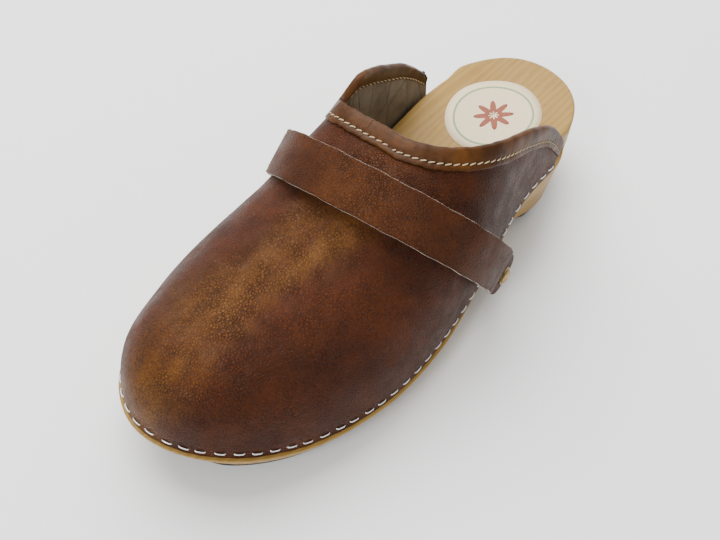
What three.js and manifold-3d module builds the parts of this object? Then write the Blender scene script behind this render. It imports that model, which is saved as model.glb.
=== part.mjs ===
// A wooden clog mule for the left foot: a carved wooden sole with rubber outsoles, a stapled leather
// vamp with lining, toe puff and folded binding, and a loose leather strap that swings on two nails.
// Millimetres, +Z up, the toe points to -Y, the outer (lateral) side of the foot is +X.
import * as THREE from "three";
import { mergeVertices } from "three/addons/utils/BufferGeometryUtils.js";
import Module from "manifold-3d";

const wasm = await Module();
wasm.setup();

// Driving dimensions
const SOLE_LENGTH = 262;
const HALF_LENGTH = SOLE_LENGTH / 2;
const GAP = 0.3;
const FEATHER_DEPTH = 10.1;
const RABBET_DEPTH = 3.3;
const LEATHER_OUTSET = 2;
const UPPER_THICKNESS = 1.6;
const PUFF_THICKNESS = 0.6;
const LINING_THICKNESS = 0.8;
const RUBBER_THICKNESS = 4.7;
const STRAP_WIDTH = 20;
const STRAP_THICKNESS = 1.8;
const STRAP_PIVOT_FROM_HEEL = 106;
const STRAP_PIVOT_HEIGHT = 14;
const STRAP_LEAN = THREE.MathUtils.degToRad(37);
const STRAP_YAW = THREE.MathUtils.degToRad(8);
const NAIL_SHANK_RADIUS = 1.5;
const STAPLE_COUNT = 34;
const STAPLE_CROWN = 4;

const UP = new THREE.Vector3(0, 0, 1);

// A place along the shoe is given by its distance from the rear of the heel.
function fromHeel(distance) {
  return HALF_LENGTH - distance;
}

// A smooth height (or other value) along the shoe, through a few [distance from heel, value] points.
// It never swings past its points: it is the monotone cubic through them.
function profile(points) {
  const slopes = points.map((point, k) => {
    if (k === 0 || k === points.length - 1) {
      return 0;
    }
    const before = (point[1] - points[k - 1][1]) / (point[0] - points[k - 1][0]);
    const after = (points[k + 1][1] - point[1]) / (points[k + 1][0] - point[0]);
    return before * after > 0 ? (2 * before * after) / (before + after) : 0;
  });
  return (y) => {
    const distance = THREE.MathUtils.clamp(fromHeel(y), points[0][0], points.at(-1)[0]);
    let k = 1;
    while (k < points.length - 1 && points[k][0] < distance) {
      k += 1;
    }
    const [start, from] = points[k - 1];
    const [end, to] = points[k];
    const span = end - start;
    const t = (distance - start) / span;
    const rise = t * t * (3 - 2 * t);
    const leave = t * (1 - t) ** 2 * slopes[k - 1] * span;
    const arrive = t * t * (t - 1) * slopes[k] * span;
    return THREE.MathUtils.lerp(from, to, rise) + leave + arrive;
  };
}

// Outline of the wooden sole seen from above, as [half width, distance from heel] on each side.
const HEEL_POINT = [0, 0];
const TOE_POINT = [-5, 262];
const LATERAL_EDGE = [
  [13, 3],
  [23.5, 12],
  [33, 35],
  [37, 80],
  [47.7, 125],
  [52, 160],
  [51, 190],
  [43.3, 220],
  [29, 246],
  [12.5, 258.5],
];
const MEDIAL_EDGE = [
  [12.5, 3],
  [22.5, 12],
  [32, 35],
  [32.9, 80],
  [34.3, 125],
  [43.3, 160],
  [45.1, 190],
  [40.6, 220],
  [30.8, 245],
  [18, 257.5],
];
const outlineCurve = new THREE.CatmullRomCurve3(
  [
    HEEL_POINT,
    ...LATERAL_EDGE,
    TOE_POINT,
    ...MEDIAL_EDGE.toReversed().map(([x, distance]) => [-x, distance]),
  ].map(([x, distance]) => new THREE.Vector3(x, fromHeel(distance), 0)),
  true,
);

const footbedHeight = profile([
  [0, 41.9],
  [60, 43.9],
  [100, 35.8],
  [140, 29.3],
  [180, 25.2],
  [220, 26.8],
  [262, 34.2],
]);
const bottomHeight = profile([
  [0, RUBBER_THICKNESS + GAP],
  [62, RUBBER_THICKNESS + GAP],
  [80, 9],
  [95, 10.5],
  [110, 8.5],
  [126, RUBBER_THICKNESS + GAP],
  [190, RUBBER_THICKNESS + GAP],
  [220, 8],
  [245, 14],
  [262, 20],
]);

// Points of the outline, moved outwards by an offset that may change along the shoe.
function outlineRing(count, offsetAt, heightAt) {
  const ring = [];
  for (let i = 0; i < count; i += 1) {
    const point = outlineCurve.getPoint(i / count);
    const tangent = outlineCurve.getTangent(i / count);
    const outward = new THREE.Vector3().crossVectors(UP, tangent);
    ring.push(point.clone().addScaledVector(outward, offsetAt(point.y)).setZ(heightAt(point.y)));
  }
  return ring;
}

// Collects triangles, drops the ones with no area, and gives a merged closed geometry.
class Skin {
  constructor() {
    this.positions = [];
  }
  triangle(a, b, c) {
    const area = new THREE.Triangle(a, b, c).getArea();
    if (area > 1e-7) {
      this.positions.push(...a.toArray(), ...b.toArray(), ...c.toArray());
    }
  }
  quad(a, b, c, d) {
    this.triangle(a, b, c);
    this.triangle(a, c, d);
  }
  // rows[i][j], with its outer face where j cross i points
  grid(rows) {
    for (let i = 0; i + 1 < rows.length; i += 1) {
      for (let j = 0; j + 1 < rows[i].length; j += 1) {
        this.quad(rows[i][j], rows[i][j + 1], rows[i + 1][j + 1], rows[i + 1][j]);
      }
    }
  }
  geometry() {
    const loose = new THREE.BufferGeometry();
    loose.setAttribute("position", new THREE.Float32BufferAttribute(this.positions, 3));
    return mergeVertices(loose, 1e-3);
  }
}

// A closed solid between two equal grids, an outer one and an inner one.
function shellBetween(outer, inner) {
  const skin = new Skin();
  skin.grid(outer);
  skin.grid(inner.map((row) => row.toReversed()));
  const last = outer.length - 1;
  const end = outer[0].length - 1;
  for (let i = 0; i < last; i += 1) {
    skin.quad(outer[i][0], outer[i + 1][0], inner[i + 1][0], inner[i][0]);
    skin.quad(outer[i][end], inner[i][end], inner[i + 1][end], outer[i + 1][end]);
  }
  for (let j = 0; j < end; j += 1) {
    skin.quad(outer[0][j], inner[0][j], inner[0][j + 1], outer[0][j + 1]);
    skin.quad(outer[last][j], outer[last][j + 1], inner[last][j + 1], inner[last][j]);
  }
  return skin.geometry();
}

function smoothstep(value, low, high) {
  return THREE.MathUtils.smoothstep(value, low, high);
}

// manifold-3d solids, only for cutting
function toSolid(geometry) {
  const bare = geometry.clone();
  bare.deleteAttribute("normal");
  bare.deleteAttribute("uv");
  const merged = mergeVertices(bare, 1e-4);
  return new wasm.Manifold(
    new wasm.Mesh({
      numProp: 3,
      vertProperties: new Float32Array(merged.attributes.position.array),
      triVerts: new Uint32Array(merged.index.array),
    }),
  );
}

function toGeometry(solid) {
  const mesh = solid.getMesh();
  const geometry = new THREE.BufferGeometry();
  geometry.setAttribute("position", new THREE.BufferAttribute(mesh.vertProperties, 3));
  geometry.setIndex(new THREE.BufferAttribute(mesh.triVerts, 1));
  return geometry;
}

function cut(geometry, tools) {
  let solid = toSolid(geometry);
  for (const tool of tools) {
    solid = solid.subtract(toSolid(tool));
  }
  return toGeometry(solid);
}

// Cylinder from one point to another.
function rod(start, end, radius, sides) {
  const axis = end.clone().sub(start);
  const geometry = new THREE.CylinderGeometry(radius, radius, axis.length(), sides);
  geometry.applyQuaternion(
    new THREE.Quaternion().setFromUnitVectors(new THREE.Vector3(0, 1, 0), axis.clone().normalize()),
  );
  const middle = start.clone().add(end).multiplyScalar(0.5);
  return geometry.translate(middle.x, middle.y, middle.z);
}

// --- wooden sole -------------------------------------------------------------------------------
const RING_COUNT = 72;
const FOOTBED_COLUMNS = 4;
const LIP_WIDTH = 1.1;
const LIP_DROP = 0.4;
const LIP_HEIGHT = 1.6;
const EDGE_ROUND = 1.2;
const BOTTOM_CHAMFER = 1.2;
const WALL_LEAN = Math.tan(THREE.MathUtils.degToRad(22));
const HEEL_LEAN = Math.tan(THREE.MathUtils.degToRad(7));

function rabbetAt(y) {
  return smoothstep(fromHeel(y), 28, 44);
}
function lipAt(y) {
  const lip = LIP_WIDTH * smoothstep(fromHeel(y), 118, 150);
  return LEATHER_OUTSET * rabbetAt(y) + lip;
}
function ledgeHeight(y) {
  return footbedHeight(y) - FEATHER_DEPTH - GAP;
}
function wallInset(y) {
  const lean = THREE.MathUtils.lerp(HEEL_LEAN, WALL_LEAN, smoothstep(fromHeel(y), 45, 85));
  return lean * (ledgeHeight(y) - bottomHeight(y));
}

// Rows that cross the sole from its lateral edge to its medial edge, between the two ends of a ring.
function crossRows(ring, columns, lift) {
  const rows = [];
  for (let i = 0; i <= ring.length / 2; i += 1) {
    const lateral = ring[i];
    const medial = ring[(ring.length - i) % ring.length];
    const row = [];
    for (let j = 0; j <= columns; j += 1) {
      const point = lateral.clone().lerp(medial, j / columns);
      const inside = 4 * (j / columns) * (1 - j / columns);
      row.push(j > 0 && j < columns ? point.setZ(point.z + lift(point.y) * inside) : point);
    }
    rows.push(row);
  }
  return rows;
}

// The footbed is cupped under the heel and hollowed a little under the ball.
const HEEL_CUP = 2.6;
const BALL_HOLLOW = 1.2;
function footbedCup(y) {
  const distance = fromHeel(y);
  const heel = smoothstep(distance, 6, 30) * (1 - smoothstep(distance, 60, 95));
  const ball = smoothstep(distance, 120, 160) * (1 - smoothstep(distance, 200, 235));
  return -HEEL_CUP * heel - BALL_HOLLOW * ball;
}

function soleGeometry() {
  const rings = [
    [(y) => -RABBET_DEPTH * rabbetAt(y) - EDGE_ROUND, (y) => footbedHeight(y)],
    [(y) => -RABBET_DEPTH * rabbetAt(y) - 0.3 * EDGE_ROUND, (y) => footbedHeight(y) - 0.3 * EDGE_ROUND],
    [(y) => -RABBET_DEPTH * rabbetAt(y), (y) => footbedHeight(y) - EDGE_ROUND],
    [(y) => -RABBET_DEPTH * rabbetAt(y), (y) => ledgeHeight(y)],
    [lipAt, (y) => ledgeHeight(y) - LIP_DROP],
    [lipAt, (y) => ledgeHeight(y) - LIP_HEIGHT],
    [(y) => lipAt(y) - wallInset(y), (y) => bottomHeight(y) + BOTTOM_CHAMFER],
    [(y) => lipAt(y) - wallInset(y) - BOTTOM_CHAMFER, bottomHeight],
  ].map(([offset, height]) => outlineRing(RING_COUNT, offset, height));
  const skin = new Skin();
  skin.grid(crossRows(rings[0], FOOTBED_COLUMNS, footbedCup));
  for (let k = 0; k + 1 < rings.length; k += 1) {
    for (let i = 0; i < RING_COUNT; i += 1) {
      const next = (i + 1) % RING_COUNT;
      skin.quad(rings[k][i], rings[k][next], rings[k + 1][next], rings[k + 1][i]);
    }
  }
  const bottom = crossRows(rings.at(-1), FOOTBED_COLUMNS, () => 0);
  skin.grid(bottom.map((row) => row.toReversed()));
  return skin.geometry();
}

// --- rubber outsoles ---------------------------------------------------------------------------
const RUBBER_INSET = 2.2;

// A slab between two distances from the heel that follows the bottom of the wood.
function outsoleGeometry(start, end, rows) {
  const ring = outlineRing(4 * RING_COUNT, (y) => lipAt(y) - wallInset(y) - RUBBER_INSET, () => 0);
  const half = ring.length / 2;
  const edgeX = (side, y) => {
    const points = side > 0 ? ring.slice(0, half + 1) : [ring[0], ...ring.slice(half).toReversed()];
    let k = 1;
    while (k < points.length - 1 && points[k].y > y) {
      k += 1;
    }
    const [a, b] = [points[k - 1], points[k]];
    return THREE.MathUtils.lerp(a.x, b.x, (y - a.y) / (b.y - a.y));
  };
  const upper = [];
  const lower = [];
  for (let i = 0; i <= rows; i += 1) {
    const share = i / rows;
    const y = fromHeel(THREE.MathUtils.lerp(start, end, 0.5 - 0.5 * Math.cos(Math.PI * share)));
    const lateral = edgeX(1, y);
    const medial = edgeX(-1, y);
    const top = [];
    const under = [];
    for (let j = 0; j <= FOOTBED_COLUMNS; j += 1) {
      const x = THREE.MathUtils.lerp(lateral, medial, j / FOOTBED_COLUMNS);
      top.push(new THREE.Vector3(x, y, bottomHeight(y) - GAP));
      under.push(new THREE.Vector3(x, y, bottomHeight(y) - GAP - RUBBER_THICKNESS));
    }
    upper.push(top);
    lower.push(under);
  }
  return shellBetween(upper, lower);
}

// --- the surface of the vamp -------------------------------------------------------------------
const SECTION_POWER = 2.5;
const SHOULDER_POWER = 5;
const RIDGE_SHARE = 0.462;
const TOE_POWER = 3.1;
const TOE_START = 221;
const TOE_END = SOLE_LENGTH + LEATHER_OUTSET;
const WING_LATERAL = 47;
const WING_MEDIAL = 54;

const archHeight = profile([
  [40, 108],
  [60, 100],
  [80, 92],
  [100, 82.5],
  [115, 74.5],
  [128, 67.5],
  [165, 56.4],
  [200, 46.4],
  [235, 39],
  [264, 34],
]);
const LEATHER_RING_COUNT = 1200;
const FOOT_SPACING = 8;
const leatherRing = outlineRing(LEATHER_RING_COUNT, () => LEATHER_OUTSET, () => 0);

function leatherEdgeX(side, y) {
  const half = leatherRing.length / 2;
  let low = side > 0 ? 0 : half;
  let high = side > 0 ? half : leatherRing.length;
  while (high - low > 1) {
    const middle = Math.floor((low + high) / 2);
    const before = side > 0 ? leatherRing[middle].y > y : leatherRing[middle].y < y;
    low = before ? middle : low;
    high = before ? high : middle;
  }
  const a = leatherRing[low];
  const b = leatherRing[high % leatherRing.length];
  return THREE.MathUtils.lerp(a.x, b.x, THREE.MathUtils.clamp((y - a.y) / (b.y - a.y || 1), 0, 1));
}

function archAt(y) {
  const toe = THREE.MathUtils.clamp((fromHeel(y) - TOE_START) / (TOE_END - TOE_START), 0, 1);
  return archHeight(y) * (1 - toe ** TOE_POWER) ** (1 / TOE_POWER);
}
function leatherFoot(y) {
  return footbedHeight(y) - FEATHER_DEPTH;
}
function sectionAt(y) {
  const lateral = leatherEdgeX(1, y);
  const medial = leatherEdgeX(-1, y);
  const ridge = THREE.MathUtils.lerp(medial, lateral, RIDGE_SHARE);
  return { lateral, medial, ridge };
}
// Towards the throat the medial side has a squarer shoulder than the lateral side.
function sectionPower(isLateral, y) {
  const forward = smoothstep(fromHeel(y), 110, 165);
  return isLateral ? SECTION_POWER : THREE.MathUtils.lerp(SHOULDER_POWER, SECTION_POWER, forward);
}
function vampHeight(x, y) {
  const { lateral, medial, ridge } = sectionAt(y);
  const across = x > ridge ? (x - ridge) / (lateral - ridge) : (ridge - x) / (ridge - medial);
  const power = sectionPower(x > ridge, y);
  const share = Math.max(0, 1 - Math.min(1, Math.abs(across)) ** power);
  return leatherFoot(y) + archAt(y) * share ** (1 / power);
}

// The top line of the vamp: how far round the section (0 lateral base, 180 medial base) at which
// distance from the heel.
const topLine = new THREE.CatmullRomCurve3(
  [
    [5.5, 46],
    [14.6, 59.5],
    [24.5, 77],
    [41, 98],
    [55, 111],
    [71, 121.5],
    [90, 128.3],
    [113, 128],
    [128, 125.5],
    [139, 121.5],
    [142, 113],
    [157, 100.5],
    [168, 88],
    [175, 74],
    [178.2, 63.5],
    [179.5, 55],
  ].map(([angle, distance]) => new THREE.Vector3(angle, distance, 0)),
);

// Lines up the wings stay upright, and the ones from round the toe gather at the front of the throat.
const GATHER = 0.9;
function topLineShare(share) {
  const fromToe = 2 * share - 1;
  return 0.5 + 0.5 * fromToe * (1 - GATHER + GATHER * Math.abs(fromToe));
}

function topLinePoint(share) {
  const { x: angle, y: distance } = topLine.getPointAt(topLineShare(share));
  const y = fromHeel(distance);
  const { lateral, medial, ridge } = sectionAt(y);
  const turn = THREE.MathUtils.degToRad(angle);
  const across = Math.abs(Math.cos(turn)) ** (2 / sectionPower(angle < 90, y));
  const x = angle < 90 ? ridge + (lateral - ridge) * across : ridge - (ridge - medial) * across;
  return new THREE.Vector3(x, y, vampHeight(x, y));
}

// The foot of the vamp runs from the lateral wing round the toe to the medial wing.
const footCurve = new THREE.CatmullRomCurve3(
  leatherRing
    .filter((point) => fromHeel(point.y) > (point.x > 0 ? WING_LATERAL : WING_MEDIAL))
    .filter((point, index) => index % FOOT_SPACING === 0)
    .map((point) => point.clone().setZ(leatherFoot(point.y))),
);
footCurve.arcLengthDivisions = 800;

const MERIDIAN_STEPS = 60;
const meridians = new Map();

// One line up the outer face, from the foot at this share of its length to the top line. Its points
// crowd near the foot, where the surface is steep.
function meridian(share) {
  if (!meridians.has(share)) {
    const foot = footCurve.getPointAt(share);
    const top = topLinePoint(share);
    const points = [];
    for (let i = 0; i <= MERIDIAN_STEPS; i += 1) {
      const plan = (i / MERIDIAN_STEPS) ** 3;
      const x = THREE.MathUtils.lerp(foot.x, top.x, plan);
      const y = THREE.MathUtils.lerp(foot.y, top.y, plan);
      points.push(new THREE.Vector3(x, y, vampHeight(x, y)));
    }
    points[0].copy(foot);
    points[MERIDIAN_STEPS].copy(top);
    const lengths = [0];
    for (let i = 1; i < points.length; i += 1) {
      lengths.push(lengths[i - 1] + points[i].distanceTo(points[i - 1]));
    }
    meridians.set(share, { points, lengths });
  }
  return meridians.get(share);
}

function alongMeridian(share, length) {
  const { points, lengths } = meridian(share);
  let k = 1;
  while (k < lengths.length - 1 && lengths[k] < length) {
    k += 1;
  }
  const part = (length - lengths[k - 1]) / Math.max(lengths[k] - lengths[k - 1], 1e-6);
  return points[k - 1].clone().lerp(points[k], part);
}
function meridianLength(share) {
  return meridian(share).lengths.at(-1);
}

// A point on the vamp: its share round the foot, its share up the meridian and its depth below the
// outer face of the leather.
const NORMAL_STEP = 0.004;
const RISE_STEP = 0.02;
function vampPoint(share, rise, depth) {
  const at = (s, r) => alongMeridian(s, r * meridianLength(s));
  const point = at(share, rise);
  const before = at(Math.max(0, share - NORMAL_STEP), rise);
  const after = at(Math.min(1, share + NORMAL_STEP), rise);
  const below = at(share, Math.max(0, rise - RISE_STEP));
  const above = at(share, Math.min(1, rise + RISE_STEP));
  const normal = new THREE.Vector3().crossVectors(after.sub(before), above.sub(below)).normalize();
  const height = point.z;
  point.addScaledVector(normal, normal.dot(facingOut(share)) > 0 ? -depth : depth);
  return rise === 0 ? point.setZ(height) : point;
}

// Roughly outwards, to settle the sign of the normal: sideways and up, and forwards too at the toe.
const TOE_TURN = -90;
function facingOut(share) {
  const foot = footCurve.getPointAt(share);
  return new THREE.Vector3(foot.x, Math.min(0, foot.y - TOE_TURN), 30);
}

// A layer of the vamp at one depth: all of it, or some of its columns and rows.
const VAMP_COLUMNS = 50;
const VAMP_ROWS = 10;
function vampGrid(depth, firstColumn = 0, lastColumn = VAMP_COLUMNS, lastRow = VAMP_ROWS) {
  const grid = [];
  for (let i = firstColumn; i <= lastColumn; i += 1) {
    const line = [];
    for (let j = 0; j <= lastRow; j += 1) {
      line.push(vampPoint(i / VAMP_COLUMNS, j / VAMP_ROWS, depth));
    }
    grid.push(line);
  }
  return grid;
}

const clog = new THREE.Group();

function add(name, geometry, colour, roughness, metalness = 0, parent = clog) {
  const mesh = new THREE.Mesh(
    geometry,
    new THREE.MeshStandardMaterial({ color: colour, roughness, metalness }),
  );
  mesh.name = name;
  parent.add(mesh);
  return mesh;
}

// --- toe puff, lining and the folded binding along the top line --------------------------------
const PUFF_GAP = 0.5;
const PUFF_DEPTH = UPPER_THICKNESS + PUFF_GAP;
const LINING_DEPTH = PUFF_DEPTH + PUFF_THICKNESS + PUFF_GAP;
const STACK_DEPTH = LINING_DEPTH + LINING_THICKNESS;
const BINDING_OUTSIDE = 9;
const BINDING_INSIDE = 7;
const BINDING_THICKNESS = 0.8;
const BINDING_GAP = 0.5;
const BINDING_FOLD = 1.3;
const BINDING_END = 0.004;
const STITCH_INSET = 6.2;
const THREAD_RADIUS = 0.35;
const THREAD_END = 0.02;
const THREAD_POINTS = 40;
const THREAD_STEPS = 60;
const THREAD_SIDES = 5;

// A point near the top line: so far down the meridian from it (negative is above it), at a depth.
function nearTop(share, down, depth) {
  const length = meridianLength(share);
  const rise = 1 - Math.max(down, 0) / length;
  const point = vampPoint(share, rise, depth);
  if (down < 0) {
    const below = vampPoint(share, 1 - RISE_STEP, depth);
    const upwards = vampPoint(share, 1, depth).sub(below).normalize();
    point.addScaledVector(upwards, -down);
  }
  return point;
}

// The folded section: [down from the top line, depth below the outer face of the vamp]
const BINDING_SECTION = [
  [BINDING_OUTSIDE, -BINDING_GAP - BINDING_THICKNESS],
  [0.4 * BINDING_FOLD, -BINDING_GAP - BINDING_THICKNESS],
  [-0.7 * BINDING_FOLD, -BINDING_GAP],
  [-BINDING_FOLD, STACK_DEPTH / 2],
  [-0.7 * BINDING_FOLD, STACK_DEPTH + BINDING_GAP],
  [0.4 * BINDING_FOLD, STACK_DEPTH + BINDING_GAP + BINDING_THICKNESS],
  [BINDING_INSIDE, STACK_DEPTH + BINDING_GAP + BINDING_THICKNESS],
  [BINDING_INSIDE, STACK_DEPTH + BINDING_GAP],
  [-GAP, STACK_DEPTH + BINDING_GAP],
  [-GAP, -BINDING_GAP],
  [BINDING_OUTSIDE, -BINDING_GAP],
];

// A closed tube of section rings, with a flat fan at each end.
function tubeOfRings(rings) {
  const skin = new Skin();
  const count = rings[0].length;
  for (let i = 0; i + 1 < rings.length; i += 1) {
    for (let j = 0; j < count; j += 1) {
      const next = (j + 1) % count;
      skin.quad(rings[i][j], rings[i][next], rings[i + 1][next], rings[i + 1][j]);
    }
  }
  return { skin, first: rings[0], last: rings.at(-1) };
}

function bindingGeometry() {
  const rings = [];
  for (let i = 0; i <= VAMP_COLUMNS; i += 1) {
    const share = THREE.MathUtils.lerp(BINDING_END, 1 - BINDING_END, i / VAMP_COLUMNS);
    rings.push(BINDING_SECTION.map(([down, depth]) => nearTop(share, down, depth)));
  }
  const { skin, first, last } = tubeOfRings(rings);
  const cap = THREE.ShapeUtils.triangulateShape(
    BINDING_SECTION.map(([down, depth]) => new THREE.Vector2(down, depth)),
    [],
  );
  for (const [a, b, c] of cap) {
    skin.triangle(first[a], first[b], first[c]);
    skin.triangle(last[a], last[c], last[b]);
  }
  return skin.geometry();
}

function threadGeometry(depth) {
  const points = [];
  for (let i = 0; i <= THREAD_POINTS; i += 1) {
    const share = THREE.MathUtils.lerp(THREAD_END, 1 - THREAD_END, i / THREAD_POINTS);
    points.push(nearTop(share, STITCH_INSET, depth));
  }
  const corners = [];
  for (let k = 0; k < THREAD_SIDES; k += 1) {
    const turn = (k / THREAD_SIDES) * 2 * Math.PI;
    corners.push(new THREE.Vector2(THREAD_RADIUS * Math.cos(turn), THREAD_RADIUS * Math.sin(turn)));
  }
  return new THREE.ExtrudeGeometry(new THREE.Shape(corners), {
    steps: THREAD_STEPS,
    bevelEnabled: false,
    extrudePath: new THREE.CatmullRomCurve3(points),
  });
}

// --- staples along the foot of the leather -----------------------------------------------------
const STAPLE_RISE = 3;
const STAPLE_GAP = 0.7;
const STAPLE_WIRE = 0.7;
const STAPLE_HEIGHT = 0.85;
const STAPLE_SHOULDER = 0.3;
const STAPLE_TURN_DOWN = 0.25;

// A flat wire crown with its two ends bent towards the leather.
function stapleShape() {
  const half = STAPLE_CROWN / 2;
  const shape = new THREE.Shape();
  shape.moveTo(-half, 0);
  shape.lineTo(-half + STAPLE_WIRE, 0);
  shape.lineTo(-half + STAPLE_WIRE, STAPLE_TURN_DOWN);
  shape.lineTo(half - STAPLE_WIRE, STAPLE_TURN_DOWN);
  shape.lineTo(half - STAPLE_WIRE, 0);
  shape.lineTo(half, 0);
  shape.lineTo(half, STAPLE_HEIGHT - STAPLE_SHOULDER);
  shape.lineTo(half - STAPLE_SHOULDER, STAPLE_HEIGHT);
  shape.lineTo(-half + STAPLE_SHOULDER, STAPLE_HEIGHT);
  shape.lineTo(-half, STAPLE_HEIGHT - STAPLE_SHOULDER);
  return shape;
}

function stapleGeometry(share) {
  const foot = vampPoint(share, STAPLE_RISE / meridianLength(share), -STAPLE_GAP);
  const inside = vampPoint(share, STAPLE_RISE / meridianLength(share), 1);
  const outward = foot.clone().sub(inside).normalize();
  const along = footCurve.getTangentAt(share);
  along.addScaledVector(outward, -along.dot(outward)).normalize();
  const across = new THREE.Vector3().crossVectors(along, outward);
  const frame = new THREE.Matrix4().makeBasis(along, outward, across);
  const geometry = new THREE.ExtrudeGeometry(stapleShape(), {
    depth: STAPLE_WIRE,
    bevelEnabled: false,
  });
  geometry.translate(0, 0, -STAPLE_WIRE / 2);
  return geometry.applyMatrix4(frame.setPosition(foot));
}

// --- strap on its two nails --------------------------------------------------------------------
const NAIL_SIDES = 12;
// The loop of the strap in its own plane: [across the shoe, away from the nails], inner face.
const LATERAL_TAB = 48.2;
const MEDIAL_TAB = -40.4;
const TAB_LENGTH = 9;
const TAB_ROUNDING = 0.6;
const STRAP_STEPS = 52;
const strapLoop = new THREE.CatmullRomCurve3(
  [
    [LATERAL_TAB, -TAB_LENGTH],
    [LATERAL_TAB, 0],
    [LATERAL_TAB, 9],
    [50.6, 18],
    [52, 34],
    [50.2, 52],
    [44, 68],
    [32, 79.5],
    [16, 85.5],
    [-2, 87],
    [-19, 85],
    [-33, 78.5],
    [-43.5, 66],
    [-48.5, 50],
    [-49.5, 34],
    [-46, 20],
    [MEDIAL_TAB, 9],
    [MEDIAL_TAB, 0],
    [MEDIAL_TAB, -TAB_LENGTH],
  ].map(([across, away]) => new THREE.Vector3(across, 0, away)),
);

function strapGeometry() {
  const outer = [];
  const inner = [];
  for (let i = 0; i <= STRAP_STEPS; i += 1) {
    const point = strapLoop.getPointAt(i / STRAP_STEPS);
    const tangent = strapLoop.getTangentAt(i / STRAP_STEPS);
    const outward = new THREE.Vector3(tangent.z, 0, -tangent.x);
    const past = THREE.MathUtils.clamp(-point.z / (TAB_LENGTH + TAB_ROUNDING), 0, 1);
    const half = (STRAP_WIDTH / 2) * Math.sqrt(1 - past * past);
    const rowOut = [];
    const rowIn = [];
    for (const side of [-1, 0, 1]) {
      const at = point.clone().setY(side * half);
      rowIn.push(at.clone());
      rowOut.push(at.addScaledVector(outward, STRAP_THICKNESS));
    }
    outer.push(rowOut);
    inner.push(rowIn);
  }
  const hole = new THREE.Vector3(2 * LATERAL_TAB, 0, 0);
  return cut(shellBetween(outer, inner), [
    rod(hole.clone().negate(), hole, NAIL_SHANK_RADIUS + GAP, NAIL_SIDES),
  ]);
}

// Ring round the nail's axis, from one place across the shoe to another.
const WASHER_SIDES = 14;
function washerGeometry(start, end, radius) {
  const bore = NAIL_SHANK_RADIUS + GAP;
  const profilePoints = [
    [bore, start],
    [radius, start],
    [radius, end],
    [bore, end],
    [bore, start],
  ].map(([x, y]) => new THREE.Vector2(x, y));
  return new THREE.LatheGeometry(profilePoints, WASHER_SIDES).rotateZ(-Math.PI / 2);
}

// Nail along +X with a domed head at the origin and a pointed shank behind it.
const NAIL_POINT_LENGTH = 3;
const DOME_STEPS = 4;
function nailGeometry(headRadius, headHeight, shankRadius, shankLength, sides) {
  const outline = [new THREE.Vector2(0, headHeight)];
  for (let k = 1; k <= DOME_STEPS; k += 1) {
    const turn = (k / DOME_STEPS) * (Math.PI / 2);
    outline.push(new THREE.Vector2(headRadius * Math.sin(turn), headHeight * Math.cos(turn)));
  }
  outline.push(new THREE.Vector2(shankRadius, 0));
  outline.push(new THREE.Vector2(shankRadius, -shankLength + NAIL_POINT_LENGTH));
  outline.push(new THREE.Vector2(0, -shankLength));
  return new THREE.LatheGeometry(outline.toReversed(), sides).rotateZ(-Math.PI / 2);
}

const pivot = new THREE.Group();
pivot.position.set(0, fromHeel(STRAP_PIVOT_FROM_HEEL), STRAP_PIVOT_HEIGHT);
pivot.rotation.z = STRAP_YAW;
clog.add(pivot);
const leaning = new THREE.Group();
leaning.rotation.x = STRAP_LEAN;
pivot.add(leaning);

const WASHER_THICKNESS = 0.6;
const WASHER_RADIUS = 4.4;
const LATERAL_SPACER = 6.1;
const MEDIAL_SPACER = 5.6;
const SPACER_RADIUS = 3.8;
const NAIL_LENGTH = 24;
const NAIL_HOLE_DEPTH = 22;
const NAIL_HEAD_RADIUS = 3.4;
const NAIL_HEAD_HEIGHT = 1.5;
const HOLE_RUN_OUT = 5;

// --- label on the footbed ----------------------------------------------------------------------
const LABEL_FROM_HEEL = 45.6;
const LABEL_HALF_WIDTH = 20.6;
const LABEL_HALF_LENGTH = 26.4;
const LABEL_THICKNESS = 0.25;
const LABEL_LIFT = 0.5;
const LABEL_SIDES = 28;

function footbedAt(x, y) {
  const edge = -RABBET_DEPTH * rabbetAt(y) - EDGE_ROUND - LEATHER_OUTSET;
  const lateral = leatherEdgeX(1, y) + edge;
  const medial = leatherEdgeX(-1, y) - edge;
  const share = (x - medial) / (lateral - medial);
  return footbedHeight(y) + footbedCup(y) * 4 * share * (1 - share);
}

function labelGeometry() {
  const ringAt = (height) => {
    const ring = [];
    for (let i = 0; i < LABEL_SIDES; i += 1) {
      const turn = (i / LABEL_SIDES) * 2 * Math.PI;
      const x = LABEL_HALF_WIDTH * Math.sin(turn);
      const y = fromHeel(LABEL_FROM_HEEL) + LABEL_HALF_LENGTH * Math.cos(turn);
      ring.push(new THREE.Vector3(x, y, height));
    }
    return ring;
  };
  const lay = (rows, height) =>
    rows.map((row) => row.map(({ x, y }) => new THREE.Vector3(x, y, footbedAt(x, y) + height)));
  const top = lay(crossRows(ringAt(0), 4, () => 0), LABEL_LIFT + LABEL_THICKNESS);
  const bottom = lay(crossRows(ringAt(0), 4, () => 0), LABEL_LIFT);
  const skin = new Skin();
  skin.grid(top);
  skin.grid(bottom.map((row) => row.toReversed()));
  for (let i = 0; i + 1 < top.length; i += 1) {
    const end = top[i].length - 1;
    skin.quad(top[i][0], top[i + 1][0], bottom[i + 1][0], bottom[i][0]);
    skin.quad(top[i][end], bottom[i][end], bottom[i + 1][end], top[i + 1][end]);
  }
  return skin.geometry();
}

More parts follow.
